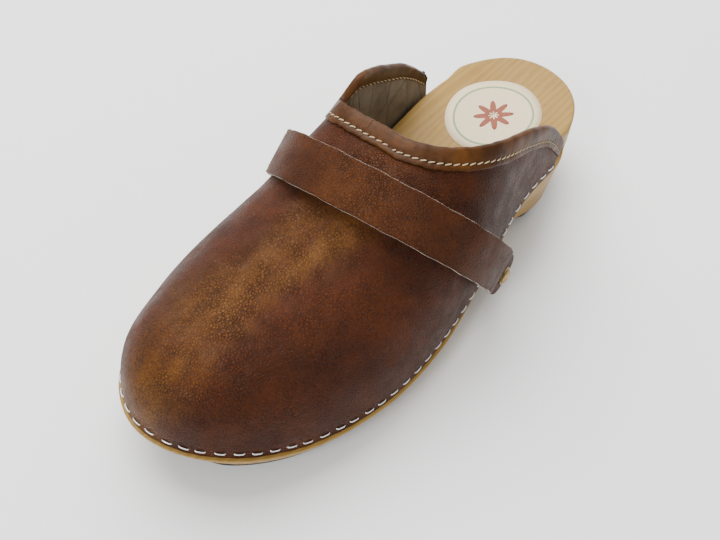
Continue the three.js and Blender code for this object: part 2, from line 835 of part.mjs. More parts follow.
// --- nails that hold the outsoles --------------------------------------------------------------
const OUTSOLE_NAIL_RADIUS = 1;
const OUTSOLE_NAIL_HEAD = 2.2;
const OUTSOLE_NAIL_DOME = 0.8;
const OUTSOLE_NAIL_SIDES = 8;
const OUTSOLE_NAIL_SINK = 1.6;
const OUTSOLE_NAIL_LENGTH = 14;
const HEEL_NAILS = [
  [-17, 22],
  [17, 22],
  [-19, 48],
  [20, 48],
];
const FOREFOOT_NAILS = [
  [-27, 142],
  [33, 142],
  [-31, 182],
  [35, 182],
  [-3, 234],
];

function outsoleNail([x, distance]) {
  const y = fromHeel(distance);
  const under = bottomHeight(y) - GAP - RUBBER_THICKNESS;
  const geometry = nailGeometry(
    OUTSOLE_NAIL_HEAD,
    OUTSOLE_NAIL_DOME,
    OUTSOLE_NAIL_RADIUS,
    OUTSOLE_NAIL_LENGTH,
    OUTSOLE_NAIL_SIDES,
  );
  return geometry.rotateY(Math.PI / 2).translate(x, y, under + OUTSOLE_NAIL_SINK);
}
function outsoleNailHole([x, distance]) {
  const y = fromHeel(distance);
  const under = bottomHeight(y) - GAP - RUBBER_THICKNESS;
  const low = new THREE.Vector3(x, y, under - 1);
  const seat = new THREE.Vector3(x, y, under + OUTSOLE_NAIL_SINK + GAP);
  const high = new THREE.Vector3(x, y, under + OUTSOLE_NAIL_SINK + OUTSOLE_NAIL_LENGTH + GAP);
  return [
    rod(low, seat, OUTSOLE_NAIL_HEAD + GAP, OUTSOLE_NAIL_SIDES),
    rod(low, high, OUTSOLE_NAIL_RADIUS + GAP, OUTSOLE_NAIL_SIDES),
  ];
}

// --- assembly ----------------------------------------------------------------------------------
const HEEL_OUTSOLE = [8, 58];
const HEEL_OUTSOLE_ROWS = 10;
const FOREFOOT_OUTSOLE = [132, 254];
const FOREFOOT_OUTSOLE_ROWS = 16;
const PUFF_COLUMNS = [18, 34];
const PUFF_ROWS = 3;
const WOOD = 0xc9a878;
const LEATHER = 0x6e3d1f;
const BINDING = 0x7a4a2a;
const LINING = 0x6b5f54;
const RUBBER = 0x2b2724;
const STEEL = 0xc8cacc;
const BRASS = 0xb08d57;
const THREAD = 0xe8dcc2;
const STIFFENER = 0xb9ad98;
const CREAM = 0xe9dcc0;

// Bores for the strap's nails, each from its blind end out past the side of the wood.
const nailHoles = [
  [LATERAL_TAB - NAIL_HOLE_DEPTH, LATERAL_TAB + HOLE_RUN_OUT],
  [MEDIAL_TAB - HOLE_RUN_OUT, MEDIAL_TAB + NAIL_HOLE_DEPTH],
].map(([start, end]) => {
  const [from, to] = [start, end].map((x) => new THREE.Vector3(x, 0, 0));
  const bore = rod(from, to, NAIL_SHANK_RADIUS + GAP, NAIL_SIDES).rotateZ(STRAP_YAW);
  return bore.translate(pivot.position.x, pivot.position.y, pivot.position.z);
});

const outsoleHoles = [...HEEL_NAILS, ...FOREFOOT_NAILS].flatMap(outsoleNailHole);
add("wooden_sole", cut(soleGeometry(), [...nailHoles, ...outsoleHoles]), WOOD, 0.55);
const heelPad = outsoleGeometry(...HEEL_OUTSOLE, HEEL_OUTSOLE_ROWS);
add("heel_outsole", cut(heelPad, HEEL_NAILS.flatMap(outsoleNailHole)), RUBBER, 0.8);
const frontPad = outsoleGeometry(...FOREFOOT_OUTSOLE, FOREFOOT_OUTSOLE_ROWS);
add("forefoot_outsole", cut(frontPad, FOREFOOT_NAILS.flatMap(outsoleNailHole)), RUBBER, 0.8);
HEEL_NAILS.forEach((place, k) => add(`heel_nail_${k + 1}`, outsoleNail(place), STEEL, 0.4, 1));
FOREFOOT_NAILS.forEach((place, k) => {
  add(`forefoot_nail_${k + 1}`, outsoleNail(place), STEEL, 0.4, 1);
});

const upper = shellBetween(vampGrid(0), vampGrid(UPPER_THICKNESS));
add("vamp_upper", upper, LEATHER, 0.4);
const puff = [PUFF_DEPTH, PUFF_DEPTH + PUFF_THICKNESS];
const [puffOuter, puffInner] = puff.map((depth) => vampGrid(depth, ...PUFF_COLUMNS, PUFF_ROWS));
add("toe_puff", shellBetween(puffOuter, puffInner), STIFFENER, 0.8);
const lining = [LINING_DEPTH, STACK_DEPTH];
const [liningOuter, liningInner] = lining.map((depth) => vampGrid(depth));
add("vamp_lining", shellBetween(liningOuter, liningInner), LINING, 0.75);
add("top_binding", bindingGeometry(), BINDING, 0.45);
const needleDepth = -BINDING_GAP - BINDING_THICKNESS - GAP - THREAD_RADIUS;
const bobbinDepth = STACK_DEPTH + BINDING_GAP + BINDING_THICKNESS + GAP + THREAD_RADIUS;
add("binding_thread_outside", threadGeometry(needleDepth), THREAD, 0.7);
add("binding_thread_inside", threadGeometry(bobbinDepth), THREAD, 0.7);
add("footbed_label", labelGeometry(), CREAM, 0.6);

for (let k = 0; k < STAPLE_COUNT; k += 1) {
  const share = (k + 0.5) / STAPLE_COUNT;
  add(`staple_${String(k + 1).padStart(2, "0")}`, stapleGeometry(share), STEEL, 0.25, 1);
}

add("strap", strapGeometry(), LEATHER, 0.4, 0, leaning);
for (const [side, tab, turn, thickness] of [
  ["lateral", LATERAL_TAB, 0, LATERAL_SPACER],
  ["medial", -MEDIAL_TAB, Math.PI, MEDIAL_SPACER],
]) {
  const post = new THREE.Group();
  post.rotation.z = turn;
  pivot.add(post);
  const face = tab + STRAP_THICKNESS + GAP;
  const head = face + WASHER_THICKNESS + GAP;
  const spacer = washerGeometry(tab - GAP - thickness, tab - GAP, SPACER_RADIUS);
  add(`strap_spacer_${side}`, spacer, BRASS, 0.4, 1, post);
  const washer = washerGeometry(face, face + WASHER_THICKNESS, WASHER_RADIUS);
  add(`strap_washer_${side}`, washer, BRASS, 0.35, 1, post);
  const nail = nailGeometry(
    NAIL_HEAD_RADIUS,
    NAIL_HEAD_HEIGHT,
    NAIL_SHANK_RADIUS,
    NAIL_LENGTH,
    NAIL_SIDES,
  );
  add(`strap_nail_${side}`, nail.translate(head, 0, 0), BRASS, 0.35, 1, post);
}

// The origin is the middle of the underside of the whole shoe's box.
const box = new THREE.Box3().setFromObject(clog, true);
const middle = box.getCenter(new THREE.Vector3());
clog.position.set(-middle.x, -middle.y, -box.min.z);

export default clog;
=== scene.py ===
"""Wooden clog mule: carved sole, stapled leather vamp with a stitched binding, and a swinging strap.

The shapes are worked out in millimetres, with y = 0 halfway along the sole, the toe at -y and the outer side
of the foot at +x, then laid over the frame and scaled to metres.
"""

import math

import bmesh
import bpy
import numpy as np
from mathutils import Matrix, Vector


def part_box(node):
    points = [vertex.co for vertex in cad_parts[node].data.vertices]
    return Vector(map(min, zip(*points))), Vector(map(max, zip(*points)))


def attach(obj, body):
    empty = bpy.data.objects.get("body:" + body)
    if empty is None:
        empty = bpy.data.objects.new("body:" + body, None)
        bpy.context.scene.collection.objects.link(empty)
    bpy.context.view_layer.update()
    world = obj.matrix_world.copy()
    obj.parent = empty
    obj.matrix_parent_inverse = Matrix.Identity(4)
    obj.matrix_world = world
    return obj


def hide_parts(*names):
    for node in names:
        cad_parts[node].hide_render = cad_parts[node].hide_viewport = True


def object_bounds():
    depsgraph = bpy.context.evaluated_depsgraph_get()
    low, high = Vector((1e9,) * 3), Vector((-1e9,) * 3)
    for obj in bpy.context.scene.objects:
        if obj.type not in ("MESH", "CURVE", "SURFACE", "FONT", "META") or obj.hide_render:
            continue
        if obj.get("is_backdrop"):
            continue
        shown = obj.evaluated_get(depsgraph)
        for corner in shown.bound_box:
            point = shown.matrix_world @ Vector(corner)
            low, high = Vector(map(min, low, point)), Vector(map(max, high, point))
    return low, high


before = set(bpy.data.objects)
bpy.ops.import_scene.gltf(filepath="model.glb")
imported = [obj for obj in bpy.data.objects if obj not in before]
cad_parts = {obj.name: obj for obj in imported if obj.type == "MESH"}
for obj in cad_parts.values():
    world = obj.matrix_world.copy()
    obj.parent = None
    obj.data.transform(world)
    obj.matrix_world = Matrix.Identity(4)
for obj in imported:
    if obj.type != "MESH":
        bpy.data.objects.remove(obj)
CAD_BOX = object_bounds()

MM = 0.001
SOLE_LENGTH = 262.0
HALF_LENGTH = SOLE_LENGTH / 2
GAP = 0.3


def frame_offset():
    """Where the middle of the sole's length lies in the frame, in millimetres."""
    label_low, label_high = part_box("footbed_label")
    sole_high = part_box("wooden_sole")[1]
    return np.array([(label_low.x + label_high.x) / 2 / MM, sole_high.y / MM - HALF_LENGTH, 0.0])


OFFSET = frame_offset()


# --- camera ------------------------------------------------------------------------------------
CAMERA_AZIMUTH = math.radians(33.848)
CAMERA_ELEVATION = math.radians(51.014)
CAMERA_ROLL = math.radians(7.745)
CAMERA_DISTANCE = 459.5
CAMERA_LENS = 57.09
CAMERA_TARGET = np.array([15.684, -30.634, 45.0])


def make_camera():
    sin_a, cos_a = math.sin(CAMERA_AZIMUTH), math.cos(CAMERA_AZIMUTH)
    sin_e, cos_e = math.sin(CAMERA_ELEVATION), math.cos(CAMERA_ELEVATION)
    back = Vector((sin_a * cos_e, -cos_a * cos_e, sin_e))
    level = Vector((cos_a, sin_a, 0))
    upright = back.cross(level)
    right = math.cos(CAMERA_ROLL) * level + math.sin(CAMERA_ROLL) * upright
    up = -math.sin(CAMERA_ROLL) * level + math.cos(CAMERA_ROLL) * upright
    data = bpy.data.cameras.new("camera")
    data.lens = CAMERA_LENS
    data.clip_start = 0.01
    camera = bpy.data.objects.new("camera", data)
    place = Vector((CAMERA_TARGET + OFFSET) * MM) + back * (CAMERA_DISTANCE * MM)
    camera.matrix_world = Matrix.Translation(place) @ Matrix((right, up, back)).transposed().to_4x4()
    bpy.context.scene.collection.objects.link(camera)
    bpy.context.scene.camera = camera


make_camera()


# --- curves and meshes -------------------------------------------------------------------------
def smooth(value, low, high):
    t = np.clip((np.asarray(value, float) - low) / (high - low), 0, 1)
    return t * t * (3 - 2 * t)


def from_heel(distance):
    return HALF_LENGTH - distance


def profile(*points):
    """A monotone cubic through [distance from heel, value] points, as a function of y."""
    at = np.array([p[0] for p in points], float)
    value = np.array([p[1] for p in points], float)
    step = np.diff(value) / np.diff(at)
    slope = np.zeros(len(at))
    both = step[:-1] * step[1:]
    rising = both > 0
    slope[1:-1][rising] = 2 * both[rising] / (step[:-1] + step[1:])[rising]

    def height(y):
        distance = np.clip(from_heel(np.asarray(y, float)), at[0], at[-1])
        k = np.clip(np.searchsorted(at, distance, side="left"), 1, len(at) - 1)
        span = at[k] - at[k - 1]
        t = (distance - at[k - 1]) / span
        rise = t * t * (3 - 2 * t)
        leave = t * (1 - t) ** 2 * slope[k - 1] * span
        arrive = t * t * (t - 1) * slope[k] * span
        return value[k - 1] * (1 - rise) + value[k] * rise + leave + arrive

    return height


def catmull(points, closed, count):
    """Points along a centripetal Catmull-Rom curve, count to each span."""
    points = np.array(points, float)
    if closed:
        ring = np.vstack([points[-1], points, points[0], points[1]])
    else:
        ring = np.vstack([2 * points[0] - points[1], points, 2 * points[-1] - points[-2]])
    out = []
    t = np.arange(count)[:, None] / count
    for k in range(len(ring) - 3):
        p0, p1, p2, p3 = ring[k : k + 4]
        d0, d1, d2 = (np.linalg.norm(b - a) ** 0.5 for a, b in ((p0, p1), (p1, p2), (p2, p3)))
        leave = ((p1 - p0) / d0 - (p2 - p0) / (d0 + d1) + (p2 - p1) / d1) * d1
        arrive = ((p2 - p1) / d1 - (p3 - p1) / (d1 + d2) + (p3 - p2) / d2) * d1
        cubic = 2 * p1 - 2 * p2 + leave + arrive
        square = -3 * p1 + 3 * p2 - 2 * leave - arrive
        out.append(p1 + leave * t + square * t**2 + cubic * t**3)
    out = np.vstack(out)
    return out if closed else np.vstack([out, points[-1:]])


def lengths(points):
    return np.concatenate([[0], np.cumsum(np.linalg.norm(np.diff(points, axis=0), axis=1))])


def along(points, share):
    """Points at shares of the length of a polyline."""
    run = lengths(points)
    at = np.asarray(share, float) * run[-1]
    return np.stack([np.interp(at, run, points[:, k]) for k in range(points.shape[1])], -1)


def unit(vectors):
    return vectors / np.maximum(np.linalg.norm(vectors, axis=-1, keepdims=True), 1e-9)


def make_piece(name, points, faces, materials, face_materials=None, replaces=(), slot=None, body="clog"):
    """A smooth-shaded mesh from points in millimetres, riding on a body."""
    mesh = bpy.data.meshes.new(name)
    mesh.from_pydata(((np.asarray(points) + OFFSET) * MM).tolist(), [], [list(map(int, f)) for f in faces])
    mesh.validate()
    for material in materials:
        mesh.materials.append(material)
    if face_materials is not None:
        mesh.polygons.foreach_set("material_index", np.asarray(face_materials, np.int32))
    mesh.polygons.foreach_set("use_smooth", np.ones(len(mesh.polygons), bool))
    mesh.update()
    piece = bpy.data.objects.new(name, mesh)
    bpy.context.scene.collection.objects.link(piece)
    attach(piece, body)
    if replaces:
        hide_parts(*replaces)
    return piece


def grid_faces(rows, columns, wrap_rows=False, wrap_columns=False):
    """Quads of a grid of points, outer face where row cross column points."""
    faces = []
    for i in range(rows if wrap_rows else rows - 1):
        for j in range(columns if wrap_columns else columns - 1):
            i2, j2 = (i + 1) % rows, (j + 1) % columns
            faces.append((i * columns + j, i2 * columns + j, i2 * columns + j2, i * columns + j2))
    return faces


def flipped(faces):
    """The same faces turned to face the other way."""
    return [face[::-1] for face in faces]


def tube(sections, capped=True, closed=False):
    """Points and faces of a closed section swept along: sections[i][j]."""
    sections = np.asarray(sections)
    rows, columns = sections.shape[:2]
    faces = grid_faces(rows, columns, wrap_rows=closed, wrap_columns=True)
    if capped and not closed:
        faces.append(tuple(range(columns)))
        faces.append(tuple((rows - 1) * columns + k for k in reversed(range(columns))))
    return sections.reshape(-1, 3), faces


class Heap:
    """Many small solids gathered into one mesh."""

    def __init__(self):
        self.points = []
        self.faces = []

    def add(self, points, faces):
        start = len(self.points)
        self.points.extend(np.asarray(points).tolist())
        self.faces.extend([tuple(start + k for k in face) for face in faces])


# --- procedural materials ----------------------------------------------------------------------
class Shader:
    """A material whose node tree is written one link at a time."""

    def __init__(self, name, roughness, metallic=0.0, specular=0.5):
        self.material = bpy.data.materials.new(name)
        self.material.use_nodes = True
        self.tree = self.material.node_tree
        self.surface = self.tree.nodes["Principled BSDF"]
        self.surface.inputs["Roughness"].default_value = roughness
        self.surface.inputs["Metallic"].default_value = metallic
        self.surface.inputs["Specular IOR Level"].default_value = specular
        self.where = self.tree.nodes.new("ShaderNodeTexCoord").outputs["Object"]
        self.bump = None

    def node(self, kind, inputs=None, **settings):
        node = self.tree.nodes.new(kind)
        for key, value in settings.items():
            setattr(node, key, value)
        for key, value in (inputs or {}).items():
            if hasattr(value, "is_output"):
                self.tree.links.new(value, node.inputs[key])
            else:
                node.inputs[key].default_value = value
        return node

    def stretched(self, scale, turn=(0, 0, 0)):
        return self.node(
            "ShaderNodeMapping", {"Vector": self.where, "Scale": scale, "Rotation": turn}
        ).outputs["Vector"]

    def noise(self, scale, detail=4.0, roughness=0.5, where=None):
        node = self.node(
            "ShaderNodeTexNoise",
            {
                "Vector": where or self.where,
                "Scale": scale,
                "Detail": detail,
                "Roughness": roughness,
            },
        )
        return node.outputs["Fac"]

    def cells(self, scale, feature="F1", where=None):
        node = self.node(
            "ShaderNodeTexVoronoi", {"Vector": where or self.where, "Scale": scale}, feature=feature
        )
        return node.outputs["Distance"]

    def ramp(self, value, *stops):
        node = self.node("ShaderNodeValToRGB", {"Fac": value})
        elements = node.color_ramp.elements
        while len(elements) < len(stops):
            elements.new(0.5)
        for element, (position, colour) in zip(elements, stops):
            element.position = position
            element.color = (*colour, 1)
        return node.outputs["Color"]

    def level(self, value, low, high, to_low=0.0, to_high=1.0):
        node = self.node(
            "ShaderNodeMapRange",
            {"Value": value, "From Min": low, "From Max": high, "To Min": to_low, "To Max": to_high},
            interpolation_type="SMOOTHSTEP",
        )
        return node.outputs["Result"]

    def axis(self, direction, origin=(0, 0, 0)):
        """How far a place lies along a direction, in metres."""
        moved = self.node("ShaderNodeVectorMath", {0: self.where, 1: origin}, operation="SUBTRACT")
        dot = self.node(
            "ShaderNodeVectorMath", {0: moved.outputs["Vector"], 1: direction}, operation="DOT_PRODUCT"
        )
        return dot.outputs["Value"]

    def math(self, operation, *values):
        node = self.node("ShaderNodeMath", dict(enumerate(values)), operation=operation)
        return node.outputs["Value"]

    def mix(self, factor, a, b):
        node = self.node("ShaderNodeMix", data_type="RGBA")
        for key, value in ((0, factor), (6, a), (7, b)):
            if hasattr(value, "is_output"):
                self.tree.links.new(value, node.inputs[key])
            else:
                node.inputs[key].default_value = value if key == 0 else (*value, 1)
        return node.outputs[2]

    def colour(self, value):
        self.tree.links.new(value, self.surface.inputs["Base Color"])

    def roughness(self, value):
        self.tree.links.new(value, self.surface.inputs["Roughness"])

    def raise_by(self, height, distance):
        """Adds a bump of so many metres, over any bump before it."""
        inputs = {"Height": height, "Distance": distance, "Strength": 1.0}
        if self.bump:
            inputs["Normal"] = self.bump
        self.bump = self.node("ShaderNodeBump", inputs).outputs["Normal"]
        self.tree.links.new(self.bump, self.surface.inputs["Normal"])


PEBBLE_SCALE = 900.0
PEBBLE_DEPTH = 0.00026


def pebble(shader):
    """Fine pebble grain: small rounded cells with creases between them, uneven from place to place.

    Gives how far each place lies in a crease.
    """
    bent = shader.node("ShaderNodeTexNoise", {"Vector": shader.where, "Scale": 420.0, "Detail": 2.0})
    pushed = shader.node(
        "ShaderNodeVectorMath",
        {0: bent.outputs["Color"], 1: (0.0014, 0.0014, 0.0014), 2: shader.where},
        operation="MULTIPLY_ADD",
    ).outputs["Vector"]
    edge = shader.cells(PEBBLE_SCALE, "DISTANCE_TO_EDGE", pushed)
    patchy = shader.level(shader.noise(130, 3), 0.3, 0.7, 0.45, 1.0)
    crease = shader.math("MULTIPLY", shader.level(edge, 0.0, 0.22, 1.0, 0.0), patchy)
    shader.raise_by(crease, -PEBBLE_DEPTH)
    shader.raise_by(shader.noise(3200, 2), 0.00003)
    return crease


def leather_with_burnish_and_sheen(name, dark, middle, light, burnish_and_sheen_strength):
    """Brown leather with a broad amber band over a darker red-brown, fading towards the throat: the band is
    partly a burnished tone and partly a painted sheen.
    """
    shader = Shader(name, 0.5, specular=0.12)
    # Painted sheen, partly a real burnish: a lighter band at a fixed place across the leather, fading towards
    # the throat.
    across = shader.axis((0.997, -0.08, 0.0), ((OFFSET[0] - 4) * MM, (OFFSET[1] - 60) * MM, 0))
    wander = shader.math("MULTIPLY", shader.level(shader.noise(16, 3), 0.3, 0.7, -0.5, 0.5), 0.016)
    band = shader.math("ABSOLUTE", shader.math("ADD", across, wander))
    burnish_and_sheen = shader.level(band, 0.006, 0.024, 1.0, 0.0)
    streak = shader.noise(1.0, 5, 0.55, shader.stretched((70, 16, 40), (0, 0, 0.35)))
    mottle = shader.noise(42, 5, 0.6)
    base = shader.mix(shader.level(mottle, 0.32, 0.68), dark, middle)
    ahead = shader.axis((0.0, -1.0, 0.0), (0, (OFFSET[1] - 20) * MM, 0))
    burnish_and_sheen = shader.math("MULTIPLY", burnish_and_sheen, shader.level(ahead, -0.012, 0.028, 0.15, burnish_and_sheen_strength))
    tone = shader.math("MULTIPLY", burnish_and_sheen, shader.level(streak, 0.3, 0.62, 0.35, 0.95))
    colour = shader.mix(tone, base, light)
    fine = shader.noise(900, 3)
    speck = (dark[0] * 0.5, dark[1] * 0.5, dark[2] * 0.6)
    colour = shader.mix(shader.level(fine, 0.35, 0.7, 0.0, 0.35), colour, speck)
    crease = pebble(shader)
    # Painted shade: the colour darkens in the creases of the grain.
    crease_shade = tuple(0.3 * c for c in dark)
    shader.colour(shader.mix(shader.math("MULTIPLY", crease, 0.75), colour, crease_shade))
    shader.roughness(shader.level(shader.noise(120, 4), 0.3, 0.7, 0.42, 0.56))
    return shader.material


def binding_leather():
    shader = Shader("binding_leather", 0.46, specular=0.12)
    mottle = shader.noise(60, 5, 0.6)
    colour = shader.mix(shader.level(mottle, 0.35, 0.65), (0.040, 0.0135, 0.0028), (0.078, 0.0290, 0.0060))
    patch = shader.level(shader.noise(95, 2), 0.58, 0.72)
    colour = shader.mix(shader.math("MULTIPLY", patch, 0.3), colour, (0.15, 0.055, 0.010))
    shader.colour(colour)
    shader.raise_by(shader.noise(420, 4), 0.00010)
    shader.raise_by(shader.cells(1500, "SMOOTH_F1"), -0.00005)
    shader.roughness(shader.level(shader.noise(150, 3), 0.3, 0.7, 0.34, 0.5))
    return shader.material


def lining_leather():
    shader = Shader("lining_leather", 0.75, specular=0.3)
    mottle = shader.noise(55, 5, 0.65)
    colour = shader.mix(shader.level(mottle, 0.3, 0.7), (0.105, 0.078, 0.050), (0.190, 0.150, 0.105))
    crease = shader.cells(38, "DISTANCE_TO_EDGE", shader.stretched((1, 2.2, 1)))
    line = shader.level(crease, 0.0, 0.045, 1.0, 0.0)
    # Painted shade: the colour darkens along the creases.
    colour = shader.mix(shader.math("MULTIPLY", line, 0.35), colour, (0.05, 0.038, 0.026))
    shader.colour(colour)
    shader.raise_by(line, -0.00025)
    shader.raise_by(shader.noise(700, 5), 0.00012)
    return shader.material


def cut_edge():
    """The pale raw edge where leather was cut."""
    shader = Shader("leather_cut_edge", 0.85, specular=0.25)
    fibre = shader.noise(900, 5, 0.7)
    shader.colour(shader.mix(shader.level(fibre, 0.3, 0.7), (0.34, 0.28, 0.22), (0.66, 0.60, 0.52)))
    shader.raise_by(fibre, 0.0002)
    return shader.material


def dark_edge():
    """The browned raw edge at the foot of the vamp."""
    shader = Shader("leather_dark_edge", 0.8, specular=0.25)
    fibre = shader.noise(900, 5, 0.7)
    shader.colour(shader.mix(shader.level(fibre, 0.3, 0.7), (0.018, 0.010, 0.006), (0.07, 0.04, 0.022)))
    shader.raise_by(fibre, 0.0002)
    return shader.material


def lacquered_wood():
    """Pale wood with grain along the sole: growth bands, fine pores and a satin lacquer."""
    shader = Shader("wood", 0.46, specular=0.15)
    warped = shader.stretched((26, 2.2, 30), (0.05, 0.03, 0.06))
    bands = shader.node(
        "ShaderNodeTexWave",
        {"Vector": warped, "Scale": 3.6, "Distortion": 6.0, "Detail": 3.0, "Detail Scale": 1.4},
        wave_type="BANDS",
        bands_direction="X",
    ).outputs["Fac"]
    soft = shader.noise(1.0, 5, 0.6, shader.stretched((90, 6, 90)))
    colour = shader.ramp(
        shader.math("ADD", shader.math("MULTIPLY", bands, 0.45), shader.math("MULTIPLY", soft, 0.55)),
        (0.2, (0.29, 0.168, 0.040)),
        (0.5, (0.32, 0.190, 0.048)),
        (0.8, (0.355, 0.217, 0.060)),
    )
    pores = shader.noise(1.0, 3, 0.7, shader.stretched((1500, 60, 1500)))
    pore = shader.level(pores, 0.60, 0.72)
    colour = shader.mix(shader.math("MULTIPLY", pore, 0.4), colour, (0.22, 0.12, 0.045))
    shader.colour(colour)
    shader.raise_by(pore, -0.00008)
    shader.raise_by(soft, 0.00012)
    shader.roughness(shader.level(soft, 0.3, 0.7, 0.34, 0.46))
    return shader.material


def rubber():
    shader = Shader("rubber", 0.82, specular=0.35)
    mottle = shader.noise(90, 5, 0.65)
    shader.colour(shader.mix(shader.level(mottle, 0.3, 0.7), (0.020, 0.017, 0.014), (0.042, 0.035, 0.028)))
    shader.raise_by(shader.noise(1200, 4), 0.00012)
    return shader.material


def staple_steel():
    shader = Shader("staple_steel", 0.28, metallic=1.0)
    drawn = shader.noise(1400, 3)
    shader.colour(shader.mix(shader.level(drawn, 0.3, 0.7), (0.62, 0.62, 0.62), (0.86, 0.86, 0.85)))
    shader.raise_by(drawn, 0.00003)
    return shader.material


def aged_brass():
    shader = Shader("aged_brass", 0.34, metallic=1.0)
    tarnish = shader.noise(380, 5, 0.6)
    shader.colour(shader.mix(shader.level(tarnish, 0.35, 0.7), (0.58, 0.42, 0.20), (0.30, 0.20, 0.09)))
    shader.roughness(shader.level(tarnish, 0.3, 0.7, 0.26, 0.5))
    shader.raise_by(tarnish, 0.00003)
    return shader.material


def waxed_thread():
    shader = Shader("waxed_thread", 0.6, specular=0.4)
    twist = shader.noise(3500, 2)
    shader.colour(shader.mix(shader.level(twist, 0.3, 0.7), (0.34, 0.25, 0.13), (0.62, 0.50, 0.31)))
    shader.raise_by(twist, 0.00006)
    return shader.material


def needle_hole():
    # Near black: painted shade for the inside of a needle hole.
    shader = Shader("needle_hole", 0.9, specular=0.1)
    shade = shader.noise(800, 3)
    shader.colour(shader.mix(shade, (0.006, 0.003, 0.002), (0.02, 0.011, 0.006)))
    return shader.material


def printed(name, low, high):
    shader = Shader(name, 0.62, specular=0.35)
    fibre = shader.noise(1500, 4, 0.6)
    shader.colour(shader.mix(shader.level(fibre, 0.3, 0.7), low, high))
    shader.raise_by(fibre, 0.00003)
    return shader.material


def pale_floor():
    shader = Shader("pale_floor", 0.7, specular=0.2)
    shader.surface.inputs["Base Color"].default_value = (0.93, 0.93, 0.925, 1)
    return shader.material


LEATHER = leather_with_burnish_and_sheen(
    "vamp_leather", (0.044, 0.0100, 0.0016), (0.078, 0.0180, 0.0026), (0.150, 0.058, 0.0080), 0.9
)
STRAP_LEATHER = leather_with_burnish_and_sheen(
    "strap_leather", (0.052, 0.0130, 0.0020), (0.080, 0.0215, 0.0032), (0.130, 0.046, 0.0070), 0.35
)
BINDING = binding_leather()
LINING = lining_leather()
CUT_EDGE = cut_edge()
DARK_EDGE = dark_edge()
WOOD = lacquered_wood()
RUBBER = rubber()
STEEL = staple_steel()
BRASS = aged_brass()
THREAD = waxed_thread()
HOLE_SHADE = needle_hole()


# --- outline and heights of the sole -----------------------------------------------------------
FEATHER_DEPTH = 10.1
RABBET_DEPTH = 3.3
LEATHER_OUTSET = 2.0
SOLE_EDGE = 1.6
RUBBER_THICKNESS = 4.7
HEEL_POINT = (0, 0)
TOE_POINT = (-5, 262)
LATERAL_EDGE = [
    (13, 3), (23.5, 12), (33, 35), (37, 80), (47.7, 125),
    (52, 160), (51, 190), (43.3, 220), (29, 246), (12.5, 258.5),
]
MEDIAL_EDGE = [
    (12.5, 3), (22.5, 12), (32, 35), (32.9, 80), (34.3, 125),
    (43.3, 160), (45.1, 190), (40.6, 220), (30.8, 245), (18, 257.5),
]
REST = RUBBER_THICKNESS + GAP
footbed_height = profile(
    (0, 41.9), (60, 43.9), (100, 35.8), (140, 29.3), (180, 25.2), (220, 26.8), (262, 34.2)
)
bottom_height = profile(
    (0, REST), (62, REST), (80, 9), (95, 10.5), (110, 8.5),
    (126, REST), (190, REST), (220, 8), (245, 14), (262, 20),
)


OUTLINE_STEPS = 40


def outline_loop():
    points = [HEEL_POINT, *LATERAL_EDGE, TOE_POINT, *((-x, d) for x, d in reversed(MEDIAL_EDGE))]
    curve = catmull([(x, from_heel(d), 0) for x, d in points], True, OUTLINE_STEPS)
    tangent = np.roll(curve, -1, 0) - np.roll(curve, 1, 0)
    outward = unit(np.cross((0.0, 0.0, 1.0), tangent))
    return curve, outward


OUTLINE, OUTWARD = outline_loop()


def outline_ring(offset, height):
    y = OUTLINE[:, 1]
    ring = OUTLINE + OUTWARD * np.asarray(offset(y))[:, None]
    ring[:, 2] = height(ring[:, 1]) if callable(height) else height
    return ring


def rabbet_at(y):
    return smooth(from_heel(y), 28, 44)


def lip_at(y):
    return LEATHER_OUTSET * rabbet_at(y) + 1.1 * smooth(from_heel(y), 118, 150)


def ledge_height(y):
    return footbed_height(y) - FEATHER_DEPTH - GAP


def wall_inset(y):
    lean = smooth(from_heel(y), 45, 85)
    slope = math.tan(math.radians(7)) * (1 - lean) + math.tan(math.radians(22)) * lean
    return slope * (ledge_height(y) - bottom_height(y))


def footbed_cup(y):
    d = from_heel(y)
    heel = smooth(d, 6, 30) * (1 - smooth(d, 60, 95))
    ball = smooth(d, 120, 160) * (1 - smooth(d, 200, 235))
    return -2.6 * heel - 1.2 * ball


def across_rows(ring, columns, lift):
    """Rows from the lateral edge to the medial edge of a ring."""
    count = len(ring)
    half = count // 2
    lateral = ring[: half + 1]
    medial = ring[(count - np.arange(half + 1)) % count]
    share = np.linspace(0, 1, columns + 1)[None, :, None]
    rows = lateral[:, None] * (1 - share) + medial[:, None] * share
    rows[..., 2] += lift(rows[..., 1]) * 4 * share[..., 0] * (1 - share[..., 0])
    return rows


